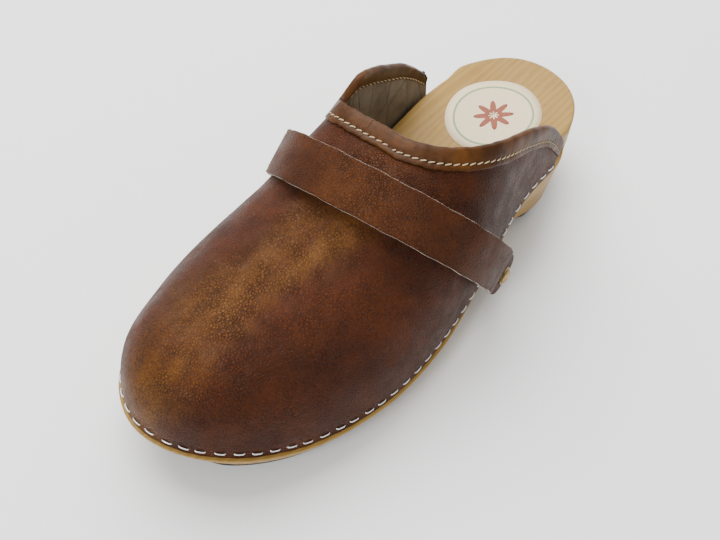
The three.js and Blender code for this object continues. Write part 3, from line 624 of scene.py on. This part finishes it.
def make_sole():
    """The sole from rings: rounded top edge, rabbet wall, lip, leaning side wall and rounded lower edge."""
    inset = lambda y: -RABBET_DEPTH * rabbet_at(y)
    edge = SOLE_EDGE
    rings = []
    for turn in np.linspace(0, math.pi / 2, 7):
        rounded = edge * (1 - math.sin(turn))
        drop = edge * (1 - math.cos(turn))
        rings.append(outline_ring(lambda y: inset(y) - rounded, lambda y, d=drop: footbed_height(y) - d))
    for share in (0.25, 0.5, 0.75, 1.0):
        rings.append(
            outline_ring(inset, lambda y, s=share: (footbed_height(y) - edge) * (1 - s) + ledge_height(y) * s)
        )
    rings.append(outline_ring(lambda y: lip_at(y) - 0.5, lambda y: ledge_height(y) - 0.1))
    for turn in np.linspace(0, math.pi / 2, 5):
        rings.append(
            outline_ring(
                lambda y, t=turn: lip_at(y) - 0.4 * (1 - math.sin(t)),
                lambda y, t=turn: ledge_height(y) - 0.15 - 0.5 * (1 - math.cos(t)),
            )
        )
    for share in np.linspace(0.08, 0.92, 12):
        rings.append(
            outline_ring(
                lambda y, s=share: lip_at(y) - wall_inset(y) * s,
                lambda y, s=share: ledge_height(y) * (1 - s) + bottom_height(y) * s,
            )
        )
    for turn in np.linspace(0, math.pi / 2, 5):
        rings.append(
            outline_ring(
                lambda y, t=turn: lip_at(y) - wall_inset(y) - SOLE_EDGE * (1 - math.cos(t)),
                lambda y, t=turn: bottom_height(y) + SOLE_EDGE * (1 - math.sin(t)),
            )
        )
    rings = np.array(rings)
    count = rings.shape[1]
    heap = Heap()
    heap.add(rings.reshape(-1, 3), flipped(grid_faces(len(rings), count, wrap_columns=True)))
    top = across_rows(rings[0], 24, footbed_cup)
    heap.add(top.reshape(-1, 3), flipped(grid_faces(*top.shape[:2])))
    bottom = across_rows(rings[-1], 8, lambda y: 0 * y)
    heap.add(bottom.reshape(-1, 3), grid_faces(*bottom.shape[:2]))
    piece = make_piece(
        "sole_wood", heap.points, heap.faces, [WOOD], replaces=["wooden_sole"], slot="wood"
    )
    weld(piece)


def weld(piece, distance=2e-5):
    """Joins points that lie together, so that the surface shades across the joint."""
    work = bmesh.new()
    work.from_mesh(piece.data)
    bmesh.ops.remove_doubles(work, verts=work.verts, dist=distance)
    bmesh.ops.recalc_face_normals(work, faces=work.faces)
    work.to_mesh(piece.data)
    work.free()
    piece.data.update()


make_sole()


# --- rubber outsoles with a shallow tread ------------------------------------------------------
TREAD_DEPTH = 0.9
TREAD_PITCH = 7.5
OUTSOLE_INSET = 2.2
OUTSOLE_CORNER = 6.0
OUTSOLE_RIM = 0.7


def make_outsole(name, start, end, node):
    ring = outline_ring(lambda y: lip_at(y) - wall_inset(y) - OUTSOLE_INSET, 0.0)
    half = len(ring) // 2
    lateral, medial = ring[: half + 1], np.vstack([ring[:1], ring[half:][::-1]])
    edge_x = lambda side, y: np.interp(-y, -side[:, 1], side[:, 0])
    rows, columns = int((end - start) / 0.9), 44
    share = 0.5 - 0.5 * np.cos(np.linspace(0, np.pi, rows))
    y = from_heel(start + (end - start) * share)
    near_end = np.minimum(np.abs(y - y[0]), np.abs(y - y[-1]))
    past_corner = 1 - np.clip(near_end / OUTSOLE_CORNER, 0, 1)
    pinch = OUTSOLE_CORNER * (1 - np.sqrt(np.clip(1 - past_corner**2, 0, 1)))
    x_high, x_low = edge_x(lateral, y) - pinch, edge_x(medial, y) + pinch
    across = np.linspace(0, 1, columns)
    x = x_high[:, None] * (1 - across) + x_low[:, None] * across
    rim = OUTSOLE_RIM
    from_rim = np.minimum(np.abs(x - x_high[:, None]), np.abs(x - x_low[:, None]))
    inner = np.minimum(from_rim, near_end[:, None])
    rounded = rim - np.sqrt(np.clip(rim**2 - (rim - np.clip(inner, 0, rim)) ** 2, 0, None))
    furrow = smooth(np.cos(2 * np.pi * y / TREAD_PITCH), 0.72, 0.92)
    groove = TREAD_DEPTH * furrow[:, None] * smooth(inner, 3.5, 4.5)
    base = bottom_height(y)[:, None]
    top = np.stack([x, np.broadcast_to(y[:, None], x.shape), base - GAP - rounded * 0.3], -1)
    under = np.stack([x, top[..., 1], base - GAP - RUBBER_THICKNESS + rounded + groove], -1)
    heap = Heap()
    heap.add(top.reshape(-1, 3), flipped(grid_faces(rows, columns)))
    heap.add(under.reshape(-1, 3), grid_faces(rows, columns))
    ring_of = lambda g: np.vstack([g[0], g[1:, -1], g[-1, -2::-1], g[-2:0:-1, 0]])
    wall = np.stack([ring_of(top), ring_of(under)])
    heap.add(wall.reshape(-1, 3), grid_faces(2, wall.shape[1], wrap_columns=True))
    piece = make_piece(name, heap.points, heap.faces, [RUBBER], replaces=[node], slot="rubber")
    weld(piece)


make_outsole("outsole_heel", 8, 58, "heel_outsole")
make_outsole("outsole_forefoot", 132, 254, "forefoot_outsole")


# --- the surface of the vamp -------------------------------------------------------------------
SECTION_POWER = 2.5
SHOULDER_POWER = 5.0
RIDGE_SHARE = 0.462
TOE_POWER = 3.1
TOE_START = 221.0
TOE_END = SOLE_LENGTH + LEATHER_OUTSET
WING_LATERAL = 47.0
WING_MEDIAL = 54.0
UPPER_THICKNESS = 1.6
STACK_DEPTH = UPPER_THICKNESS + 0.5 + 0.6 + 0.5 + 0.8
LINING_DEPTH = STACK_DEPTH - 0.8
VAMP_MIDDLE = np.array([0.0, -30.0, 0.0])

arch_height = profile(
    (40, 108), (60, 100), (80, 92), (100, 82.5), (115, 74.5),
    (128, 67.5), (165, 56.4), (200, 46.4), (235, 39), (264, 34),
)
LEATHER_RING = outline_ring(lambda y: LEATHER_OUTSET + 0 * y, 0.0)
HALF_RING = len(LEATHER_RING) // 2
LATERAL_SIDE = LEATHER_RING[: HALF_RING + 1]
MEDIAL_SIDE = np.vstack([LEATHER_RING[HALF_RING:], LEATHER_RING[:1]])[::-1]


def leather_foot(y):
    return footbed_height(y) - FEATHER_DEPTH


def section_at(y):
    lateral = np.interp(-np.asarray(y), -LATERAL_SIDE[:, 1], LATERAL_SIDE[:, 0])
    medial = np.interp(-np.asarray(y), -MEDIAL_SIDE[:, 1], MEDIAL_SIDE[:, 0])
    return lateral, medial, medial + (lateral - medial) * RIDGE_SHARE


def section_power(lateral, y):
    """Towards the throat the medial side has a squarer shoulder than the lateral side."""
    shoulder = SHOULDER_POWER + (SECTION_POWER - SHOULDER_POWER) * smooth(from_heel(y), 110, 165)
    return np.where(lateral, SECTION_POWER, shoulder)


def vamp_height(x, y):
    lateral, medial, ridge = section_at(y)
    across = np.where(x > ridge, (x - ridge) / (lateral - ridge), (ridge - x) / (ridge - medial))
    power = section_power(x > ridge, y)
    share = np.clip(1 - np.clip(np.abs(across), 0, 1) ** power, 0, 1)
    toe = np.clip((from_heel(y) - TOE_START) / (TOE_END - TOE_START), 0, 1)
    arch = arch_height(y) * (1 - toe**TOE_POWER) ** (1 / TOE_POWER)
    return leather_foot(y) + arch * share ** (1 / power)


# The top line: [degrees round the section, distance from the heel]; 0 is the lateral base, 180 the medial.
TOP_LINE = catmull(
    [
        (5.5, 46), (14.6, 59.5), (24.5, 77), (41, 98), (55, 111), (71, 121.5), (90, 128.3),
        (113, 128), (128, 125.5), (139, 121.5), (142, 113), (157, 100.5), (168, 88), (175, 74),
        (178.2, 63.5), (179.5, 55),
    ],
    False,
    30,
)
GATHER = 0.9


def top_points(share):
    from_toe = 2 * share - 1
    gathered = 0.5 + 0.5 * from_toe * (1 - GATHER + GATHER * np.abs(from_toe))
    angle, distance = along(TOP_LINE, gathered).T
    y = from_heel(distance)
    lateral, medial, ridge = section_at(y)
    across = np.abs(np.cos(np.radians(angle))) ** (2 / section_power(angle < 90, y))
    x = np.where(angle < 90, ridge + (lateral - ridge) * across, ridge - (ridge - medial) * across)
    return np.stack([x, y, vamp_height(x, y)], -1)


def foot_line():
    ring = LEATHER_RING.copy()
    ring[:, 2] = leather_foot(ring[:, 1])
    keep = from_heel(ring[:, 1]) > np.where(ring[:, 0] > 0, WING_LATERAL, WING_MEDIAL)
    return ring[keep]


FOOT_LINE = foot_line()
FOOT_LENGTH = lengths(FOOT_LINE)[-1]


def vamp_surface(columns, rows):
    """The outer face of the vamp as points[column][row], its unit normals and each column's length."""
    share = np.linspace(0, 1, columns)
    foot = along(FOOT_LINE, share)
    top = top_points(share)
    plan = (np.linspace(0, 1, 161) ** 3)[None, :]
    x = foot[:, :1] * (1 - plan) + top[:, :1] * plan
    y = foot[:, 1:2] * (1 - plan) + top[:, 1:2] * plan
    lines = np.stack([x, y, vamp_height(x, y)], -1)
    lines[:, 0] = foot
    lines[:, -1] = top
    rise = np.linspace(0, 1, rows)
    points = np.array([along(line, rise) for line in lines])
    run = np.array([lengths(line)[-1] for line in lines])
    normal = unit(np.cross(np.gradient(points, axis=0), np.gradient(points, axis=1)))
    outside = points - VAMP_MIDDLE
    if np.median((normal * outside).sum(-1)) < 0:
        normal = -normal
    return points, normal, run


def skived(depth):
    """Layer depths pared down towards the top line, where the leathers are folded in together."""
    up = RUN[:, None] * np.linspace(0, 1, VAMP_ROWS)
    thick = 0.45 + 0.55 * smooth(RUN[:, None] - up, 2.0, 22.0)
    return depth * thick


def sunk(points, normal, depth):
    """The surface moved inwards by a depth, with its foot kept at the foot's height."""
    moved = points - normal * (depth[..., None] if isinstance(depth, np.ndarray) else depth)
    moved[:, 0, 2] = points[:, 0, 2]
    return moved


VAMP_COLUMNS = 641
VAMP_ROWS = 121
SURFACE, NORMAL, RUN = vamp_surface(VAMP_COLUMNS, VAMP_ROWS)
SHARES = np.linspace(0, 1, VAMP_COLUMNS)


def surface_at(share, up=None, down=None):
    """A place on the outer face, so far up from the foot or down from the top line: point and normal."""
    share = np.atleast_1d(np.asarray(share, float))
    column = share * (VAMP_COLUMNS - 1)
    low = np.clip(column.astype(int), 0, VAMP_COLUMNS - 2)
    part = (column - low)[:, None]
    run = RUN[low] * (1 - part[:, 0]) + RUN[low + 1] * part[:, 0]
    height = np.broadcast_to(up, run.shape) if up is not None else run - np.broadcast_to(down, run.shape)
    rise = height / run
    row = np.clip(rise, 0, 1) * (VAMP_ROWS - 1)
    under = np.clip(row.astype(int), 0, VAMP_ROWS - 2)
    lift = (row - under)[:, None]

    def mix(field):
        first = field[low, under] * (1 - lift) + field[low, under + 1] * lift
        second = field[low + 1, under] * (1 - lift) + field[low + 1, under + 1] * lift
        return first * (1 - part) + second * part

    return mix(SURFACE), unit(mix(NORMAL))


# --- staples -----------------------------------------------------------------------------------
STAPLES = 68
STAPLE_RISE = 3.0
STAPLE_CROWN = 4.0
STAPLE_WIRE = (0.40, 0.24)
STAPLE_SINK = 0.22
STAPLE_SHARES = (np.arange(STAPLES) + 0.5) / STAPLES


def staple_jitter():
    chance = np.random.default_rng(7)
    return chance.normal(0, 1, (STAPLES, 3))


JITTER = staple_jitter()


def staple_dimples(share, up):
    """How far the staples pull the leather in, in millimetres."""
    along_foot = share[:, None] * FOOT_LENGTH
    pull = np.zeros((len(share), len(up[0])))
    for at in STAPLE_SHARES * FOOT_LENGTH:
        near = np.exp(-(((along_foot - at) / 1.9) ** 2) - ((up - STAPLE_RISE) / 1.5) ** 2)
        pull += 0.42 * near
    return pull


def wander(share, up, seed, *waves):
    """Smooth unevenness from a few waves of [count along, count up, size]."""
    chance = np.random.default_rng(seed)
    out = np.zeros(np.broadcast(share[:, None], up).shape)
    for count, rise, size in waves:
        a, b = chance.uniform(0, 2 * np.pi, 2)
        out += size * np.sin(2 * np.pi * count * share[:, None] + a) * np.cos(2 * np.pi * rise * up / 100 + b)
    return out


def rims_between(outer, inner):
    """The four edges that close two faces into a sheet, as points[face][place]."""
    edges = (
        (outer[:, 0], inner[:, 0]),
        (outer[-1], inner[-1]),
        (outer[::-1, -1], inner[::-1, -1]),
        (outer[0, ::-1], inner[0, ::-1]),
    )
    return [np.stack([under, over], 0) for over, under in edges]


def make_vamp():
    rise = np.linspace(0, 1, VAMP_ROWS)
    up = RUN[:, None] * rise
    pull = staple_dimples(SHARES, up)
    pull += wander(SHARES, up, 3, (5, 0.9, 0.18), (9, 1.4, 0.07)) * smooth(RUN[:, None] - up, 10, 45)
    fade = smooth(RUN[:, None] - up, 1.0, 12.0) * smooth(up, -0.1, 0.8)
    outer = sunk(SURFACE, NORMAL, pull * np.maximum(fade, 0.15))
    scallop = 0.28 * np.cos(2 * np.pi * SHARES * STAPLES) + 0.2 * np.sin(2 * np.pi * SHARES * 23)
    outer[:, 0, 2] += 0.25 + scallop * 0.6
    inner = sunk(SURFACE, NORMAL, skived(UPPER_THICKNESS))
    inner[:, 0, 2] += 0.25
    columns, rows = outer.shape[:2]
    heap = Heap()
    faces_out = grid_faces(columns, rows)
    heap.add(outer.reshape(-1, 3), faces_out)
    heap.add(inner.reshape(-1, 3), flipped(faces_out))
    rims = []
    for rim in rims_between(outer, inner):
        faces = grid_faces(*rim.shape[:2])
        heap.add(rim.reshape(-1, 3), faces)
        rims += faces
    kinds = [0] * (2 * len(faces_out)) + [1] * len(rims)
    piece = make_piece(
        "vamp_skin", heap.points, heap.faces, [LEATHER, DARK_EDGE], kinds, ["vamp_upper"], "leather"
    )
    weld(piece)


def make_lining():
    rise = np.linspace(0, 1, VAMP_ROWS)
    up = RUN[:, None] * rise
    ripple = wander(SHARES, up, 11, (13, 2.1, 0.12), (27, 4.2, 0.07))
    outer = sunk(SURFACE, NORMAL, skived(LINING_DEPTH))[::2, ::2]
    inner = sunk(SURFACE, NORMAL, skived(STACK_DEPTH + ripple * 0.5))[::2, ::2]
    columns, rows = outer.shape[:2]
    heap = Heap()
    faces = grid_faces(columns, rows)
    heap.add(outer.reshape(-1, 3), faces)
    heap.add(inner.reshape(-1, 3), flipped(faces))
    for rim in rims_between(outer, inner):
        heap.add(rim.reshape(-1, 3), grid_faces(*rim.shape[:2]))
    piece = make_piece(
        "lining_skin", heap.points, heap.faces, [LINING], replaces=["vamp_lining"], slot="lining_leather"
    )
    weld(piece)


make_vamp()
make_lining()


def make_staples():
    """Flat wire crowns with round shoulders, their legs bent down into the leather."""
    heap = Heap()
    half = STAPLE_CROWN / 2
    path = [
        (-half, -0.9), (-half, -0.25), (-half + 0.12, 0.14),
        (-half + 0.45, 0.36), (-half + 0.95, 0.44), (0, 0.50),
    ]
    path += [(-x, z) for x, z in reversed(path[:-1])]
    path = along(catmull([(x, z, 0) for x, z in path], False, 4), np.linspace(0, 1, 26))
    section = []
    for turn in np.linspace(0, 2 * math.pi, 10, endpoint=False):
        section.append((STAPLE_WIRE[0] * math.cos(turn), STAPLE_WIRE[1] * math.sin(turn)))
    shares = np.clip(STAPLE_SHARES + JITTER[:, 0] * 0.35 / FOOT_LENGTH, 0, 1)
    points, normals = surface_at(shares, up=STAPLE_RISE + JITTER[:, 1] * 0.18)
    ahead, _ = surface_at(np.clip(shares + 0.002, 0, 1), up=STAPLE_RISE)
    behind, _ = surface_at(np.clip(shares - 0.002, 0, 1), up=STAPLE_RISE)
    for k in range(STAPLES):
        out = normals[k]
        run = unit(ahead[k] - behind[k])
        side = unit(np.cross(out, run))
        tilt = math.radians(JITTER[k, 2] * 3.5)
        turned = run * math.cos(tilt) + side * math.sin(tilt)
        side = side * math.cos(tilt) - run * math.sin(tilt)
        run = turned
        tangent = unit(np.gradient(path, axis=0))
        rings = []
        for (x, z, _), (tx, tz, _t) in zip(path, tangent):
            centre = points[k] + run * x + out * (z - STAPLE_SINK)
            lift = out * tx - run * tz
            rings.append([centre + side * a + lift * b for a, b in section])
        heap.add(*tube(rings))
    nodes = [f"staple_{k:02d}" for k in range(1, 35)]
    piece = make_piece("staples", heap.points, heap.faces, [STEEL], replaces=nodes, slot="steel")
    weld(piece, 1e-7)


make_staples()


# --- binding and its stitches ------------------------------------------------------------------
BINDING_OUTSIDE = 9.0
BINDING_INSIDE = 7.0
BINDING_THICKNESS = 0.8
BINDING_GAP = 0.1
TOP_DEPTH = 0.45 * STACK_DEPTH
STITCH_INSET = 6.2
STITCH_LENGTH = 3.3
TOP_SHARES = np.linspace(0.002, 0.998, 900)


def near_top(share, down, depth):
    """Places near the top line: so far down from it (negative is above it) at a depth."""
    share = np.atleast_1d(share)
    down = np.broadcast_to(np.asarray(down, float), share.shape)
    point, normal = surface_at(share, down=np.maximum(down, 0))
    top, _ = surface_at(share, down=0.0)
    below, _ = surface_at(share, down=1.5)
    up = unit(top - below)
    return point - normal * np.asarray(depth)[..., None] + up * np.maximum(-down, 0)[:, None]


def top_run():
    return lengths(surface_at(TOP_SHARES, down=STITCH_INSET)[0])


TOP_RUN = top_run()
STITCHES = int(round(TOP_RUN[-1] / STITCH_LENGTH))


def binding_section():
    """[down, depth] round the fold, with soft corners."""
    outside = -BINDING_GAP - BINDING_THICKNESS
    inside = TOP_DEPTH + BINDING_GAP + BINDING_THICKNESS
    middle = TOP_DEPTH / 2
    points = [
        (BINDING_OUTSIDE, -0.1),
        (BINDING_OUTSIDE - 0.1, outside + 0.25),
        (BINDING_OUTSIDE - 0.7, outside + 0.02),
    ]
    points += [(d, outside) for d in (7.4, 6.7, STITCH_INSET, 5.7, 5.0, 3.6, 2.2)]
    radius = (inside - outside) / 2
    for turn in np.linspace(-0.42, 0.42, 9) * math.pi:
        points.append((0.4 - 1.3 * math.cos(turn), middle + radius * math.sin(turn)))
    points += [(d, inside) for d in (1.8, 3.4, 5.0, 5.7, STITCH_INSET)]
    points += [
        (BINDING_INSIDE - 0.1, inside - 0.15),
        (BINDING_INSIDE, inside - 0.5),
        (BINDING_INSIDE, TOP_DEPTH + 0.15),
    ]
    points += [(3.0, TOP_DEPTH + 0.15), (-0.2, TOP_DEPTH + 0.2), (-0.2, -0.1), (4.0, -0.1)]
    return points


def make_binding():
    section = binding_section()
    phase = 2 * np.pi * TOP_RUN / TOP_RUN[-1] * STITCHES
    chance = np.random.default_rng(5)
    wave = sum(
        size * np.sin(2 * np.pi * count * TOP_SHARES + chance.uniform(0, 6.28))
        for count, size in ((11, 0.10), (23, 0.07), (41, 0.04))
    )
    rings = []
    for down, depth in section:
        near_stitch = math.exp(-(((down - STITCH_INSET) / 0.9) ** 2))
        outer = depth < -0.5
        inner = depth > TOP_DEPTH + 0.3
        pull = near_stitch * (0.28 + 0.12 * np.cos(phase))
        shift = pull * (1 if outer else -1 if inner else 0)
        edge = wave * 1.6 if down > 8 else wave
        rings.append(near_top(TOP_SHARES, down + edge, depth + shift + (wave * 0.5 if outer else 0)))
    rings = np.array(rings).transpose(1, 0, 2)
    piece = make_piece(
        "binding_fold", *tube(rings), [BINDING], replaces=["top_binding"], slot="binding_leather"
    )
    weld(piece, 1e-7)


def stitch_path(share_start, share_end, slant, depth, outward):
    """One stitch: up out of its hole, over the leather and down into the next."""
    steps = np.linspace(0, 1, 9)
    share = share_start + (share_end - share_start) * steps
    down = STITCH_INSET + slant * (steps - 0.5)
    lift = 0.26 * np.sin(np.pi * steps) ** 0.6 - 0.12
    return near_top(share, down, depth - outward * lift)


def make_stitches(name, depth, outward, node):
    """A row of slanted stitches on one face of the binding, with the holes that they come out of on the outer
    face only.
    """
    heap, holes = Heap(), Heap()
    edges = np.interp(np.arange(STITCHES + 1) / STITCHES * TOP_RUN[-1], TOP_RUN, TOP_SHARES)
    for k in range(1, STITCHES - 1):
        step = edges[k + 1] - edges[k]
        path = stitch_path(edges[k] + 0.12 * step, edges[k + 1] - 0.12 * step, 0.7, depth, outward)
        tangent = unit(np.gradient(path, axis=0))
        _, normal = surface_at(edges[k] + 0.5 * step, down=STITCH_INSET)
        side = unit(np.cross(tangent, normal[0]))
        out = np.cross(side, tangent)
        width = 0.27 * np.sin(np.pi * np.linspace(0.12, 0.88, len(path))) ** 0.35
        turns = np.linspace(0, 2 * math.pi, 8, endpoint=False)
        rings = [
            [path[i] + width[i] * (side[i] * math.cos(t) + out[i] * 0.75 * math.sin(t)) for t in turns]
            for i in range(len(path))
        ]
        heap.add(*tube(rings))
        if outward > 0:
            add_hole(holes, edges[k], depth)
    piece = make_piece(name, heap.points, heap.faces, [THREAD], replaces=[node], slot="thread")
    weld(piece, 1e-7)
    if holes.points:
        make_piece("needle_holes", holes.points, holes.faces, [HOLE_SHADE], slot="binding_leather")


def add_hole(heap, share, depth):
    """A small dished spot where the thread goes through, coloured near black as painted shade for the inside
    of the hole.
    """
    centre = near_top(share, STITCH_INSET, np.array([depth + 0.04]))[0]
    _, normal = surface_at(share, down=STITCH_INSET)
    ahead = near_top(min(share + 0.002, 1), STITCH_INSET, np.array([depth + 0.04]))[0]
    run = unit(ahead - centre)
    side = np.cross(normal[0], run)
    turns = np.linspace(0, 2 * math.pi, 10, endpoint=False)
    ring = [centre + 0.52 * (run * math.cos(t) + side * math.sin(t)) - normal[0] * 0.05 for t in turns]
    crown = [centre + 0.26 * (run * math.cos(t) + side * math.sin(t)) + normal[0] * 0.06 for t in turns]
    floor = [centre - normal[0] * 0.25 for t in turns]
    points = np.array([floor, ring, crown])
    heap.add(*tube(points, capped=True))


make_binding()
OUTER_FACE = -BINDING_GAP - BINDING_THICKNESS + 0.28
INNER_FACE = TOP_DEPTH + BINDING_GAP + BINDING_THICKNESS - 0.28
make_stitches("stitches_outside", OUTER_FACE, 1, "binding_thread_outside")
make_stitches("stitches_inside", INNER_FACE, -1, "binding_thread_inside")


# --- strap -------------------------------------------------------------------------------------
STRAP_WIDTH = 20.0
STRAP_THICKNESS = 1.8
STRAP_PIVOT = np.array([0.0, from_heel(106), 14.0])
STRAP_LEAN = math.radians(37)
STRAP_YAW = math.radians(8)
LATERAL_TAB = 48.2
MEDIAL_TAB = -40.4
TAB_LENGTH = 9.0
STRAP_LOOP = [
    (LATERAL_TAB, -TAB_LENGTH), (LATERAL_TAB, 0), (LATERAL_TAB, 9), (50.6, 18), (52, 34), (50.2, 52),
    (44, 68), (32, 79.5), (16, 85.5), (-2, 87), (-19, 85), (-33, 78.5), (-43.5, 66), (-48.5, 50), (-49.5, 34),
    (-46, 20), (MEDIAL_TAB, 9), (MEDIAL_TAB, 0), (MEDIAL_TAB, -TAB_LENGTH),
]


def strap_to_shoe(points):
    lean = Matrix.Rotation(STRAP_LEAN, 3, "X")
    yaw = Matrix.Rotation(STRAP_YAW, 3, "Z")
    turn = np.array(yaw @ lean)
    return np.asarray(points) @ turn.T + STRAP_PIVOT


def make_strap():
    """A leather band with rounded edges: grain outside, a pale cut edge and flesh inside."""
    steps = 420
    loop = catmull([(x, 0, z) for x, z in STRAP_LOOP], False, 40)
    share = np.linspace(0, 1, steps)
    centre = along(loop, share)
    tangent = unit(np.gradient(centre, axis=0))
    outward = np.stack([tangent[:, 2], 0 * share, -tangent[:, 0]], -1)
    past = np.clip(-centre[:, 2] / (TAB_LENGTH + 0.25), 0, 0.995)
    half = STRAP_WIDTH / 2 * np.sqrt(1 - past**2)
    thick = STRAP_THICKNESS
    soft = 0.32
    section = [(-1, 0.0, soft), (-1, 0.25, 0), (-1, 0.6, 0), (-1, 0.85, 0.08), (-1, 1.0, 0.45)]
    for inset in (1.6, 3.0, 6.0, 10.0):
        section.append((-1, 1.0, inset))
    for inset in (6.0, 3.0, 1.6):
        section.append((1, 1.0, inset))
    section += [(1, 1.0, 0.45), (1, 0.85, 0.08), (1, 0.6, 0), (1, 0.25, 0)]
    section += [(1, 0.0, soft), (1, 0.0, 6.0), (-1, 0.0, 6.0)]
    rings = []
    edge_wave = 0.12 * np.sin(2 * np.pi * share * 13) + 0.07 * np.sin(2 * np.pi * share * 29 + 1)
    for side, level, inset in section:
        across = side * np.maximum(half - inset, 0.02 * half) + edge_wave * (inset < 1)
        bead = 0.0
        if level == 1.0 and inset == 1.6:
            bead = -0.16
        sideways = np.stack([0 * across, across, 0 * across], -1)
        rings.append(centre + outward * (thick * level + bead) + sideways)
    rings = strap_to_shoe(np.array(rings).transpose(1, 0, 2))
    count = len(section)
    points, faces = tube(rings)
    kinds = []
    edge_spans = {0, 1, 2, count - 6, count - 5, count - 4}
    for _ in range(steps - 1):
        for j in range(count):
            kinds.append(1 if j in edge_spans else 2 if j >= count - 3 else 0)
    kinds += [1, 1]
    piece = make_piece(
        "strap_band", points, faces, [STRAP_LEATHER, CUT_EDGE, LINING], kinds, ["strap"], "leather", "strap"
    )
    weld(piece, 1e-7)


make_strap()


# --- label -------------------------------------------------------------------------------------
LABEL_CENTRE = (0.0, from_heel(45.6))
LABEL_HALF = (20.6, 26.4)
LABEL_TOP = 0.32


def footbed_at(x, y):
    edge = RABBET_DEPTH * rabbet_at(y) + 1.2 + LEATHER_OUTSET
    lateral, medial, _ = section_at(y)
    share = (x - medial - edge) / (lateral - medial - 2 * edge)
    return footbed_height(y) + footbed_cup(y) * 4 * share * (1 - share)


def disc(inner, outer, height, columns=96, rings=6, wave=None):
    """An oval band of the label between two shares of its size, laid on the footbed: points[ring][turn]."""
    turns = np.linspace(0, 2 * np.pi, columns, endpoint=False)
    rows = []
    for share in np.linspace(inner, outer, rings):
        size = share * (wave(turns) if wave else 1.0)
        x = LABEL_CENTRE[0] + LABEL_HALF[0] * size * np.cos(turns)
        y = LABEL_CENTRE[1] + LABEL_HALF[1] * size * np.sin(turns)
        rows.append(np.stack([x, y, footbed_at(x, y) + height], -1))
    return np.array(rows)


def make_layer(name, material, inner, outer, top, replaces=(), wave=None):
    upper = disc(inner, outer, top, wave=wave)
    lower = disc(inner, outer, 0.05, wave=wave)
    section = np.concatenate([upper, lower[::-1]])
    points, faces = tube(section, capped=False, closed=True)
    piece = make_piece(name, points, faces, [material], replaces=replaces, slot="label")
    weld(piece, 1e-7)


PETALS = 8
PAPER_TOP = LABEL_TOP - 0.1
PRINT_TOP = LABEL_TOP - 0.04
CREAM = printed("label_cream", (0.70, 0.56, 0.36), (0.78, 0.64, 0.42))
SAGE = printed("label_sage", (0.22, 0.30, 0.15), (0.30, 0.38, 0.20))
RUSSET = printed("label_russet", (0.22, 0.055, 0.03), (0.30, 0.085, 0.045))

make_layer("label_paper", CREAM, 0.001, 1.0, PAPER_TOP, ["footbed_label"])
make_layer("label_ring", SAGE, 0.80, 0.84, PRINT_TOP)
make_layer("label_rosette", RUSSET, 0.12, 0.42, PRINT_TOP, wave=lambda t: 0.72 + 0.28 * np.cos(PETALS * t))


# --- metal carried over from the frame ---------------------------------------------------------
def finish_metal():
    for name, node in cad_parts.items():
        if name.startswith(("strap_nail", "strap_washer", "strap_spacer")):
            finish(node, BRASS)
        elif "nail" in name:
            finish(node, STEEL)
        elif name == "toe_puff":
            finish(node, printed("puff_fibre", (0.42, 0.36, 0.26), (0.56, 0.49, 0.37)))


def finish(node, material):
    node.data.materials.clear()
    node.data.materials.append(material)


finish_metal()


# --- floor and light ---------------------------------------------------------------------------
FLOOR_HALF = 3.0
FLOOR_DROP = 0.0005
WORLD_STRENGTH = 0.7


def make_floor():
    corners = [(-1, -1), (1, -1), (1, 1), (-1, 1)]
    mesh = bpy.data.meshes.new("floor")
    mesh.from_pydata([(FLOOR_HALF * x, FLOOR_HALF * y, -FLOOR_DROP) for x, y in corners], [], [(0, 1, 2, 3)])
    mesh.materials.append(pale_floor())
    floor = bpy.data.objects.new("floor", mesh)
    bpy.context.scene.collection.objects.link(floor)
    floor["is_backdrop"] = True


def make_light(name, place, size, power):
    data = bpy.data.lights.new(name, "AREA")
    data.shape = "DISK"
    data.size = size
    data.energy = power
    light = bpy.data.objects.new(name, data)
    light.location = place
    light.rotation_euler = (-Vector(place)).to_track_quat("-Z", "Y").to_euler()
    bpy.context.scene.collection.objects.link(light)


def make_world():
    world = bpy.data.worlds.new("studio")
    world.use_nodes = True
    world.node_tree.nodes["Background"].inputs["Color"].default_value = (1, 1, 1, 1)
    world.node_tree.nodes["Background"].inputs["Strength"].default_value = WORLD_STRENGTH
    bpy.context.scene.world = world


make_floor()
make_world()
make_light("key", (-0.6, 0.2, 1.1), 1.3, 32)
make_light("fill", (0.11, -1.02, 0.83), 0.45, 9)
make_light("back", (-0.2, 1.0, 0.9), 1.0, 6)

VISUAL_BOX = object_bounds()
boxes = {"cad": CAD_BOX, "visual": VISUAL_BOX}
{name: [list(map(float, corner)) for corner in box] for name, box in boxes.items()}
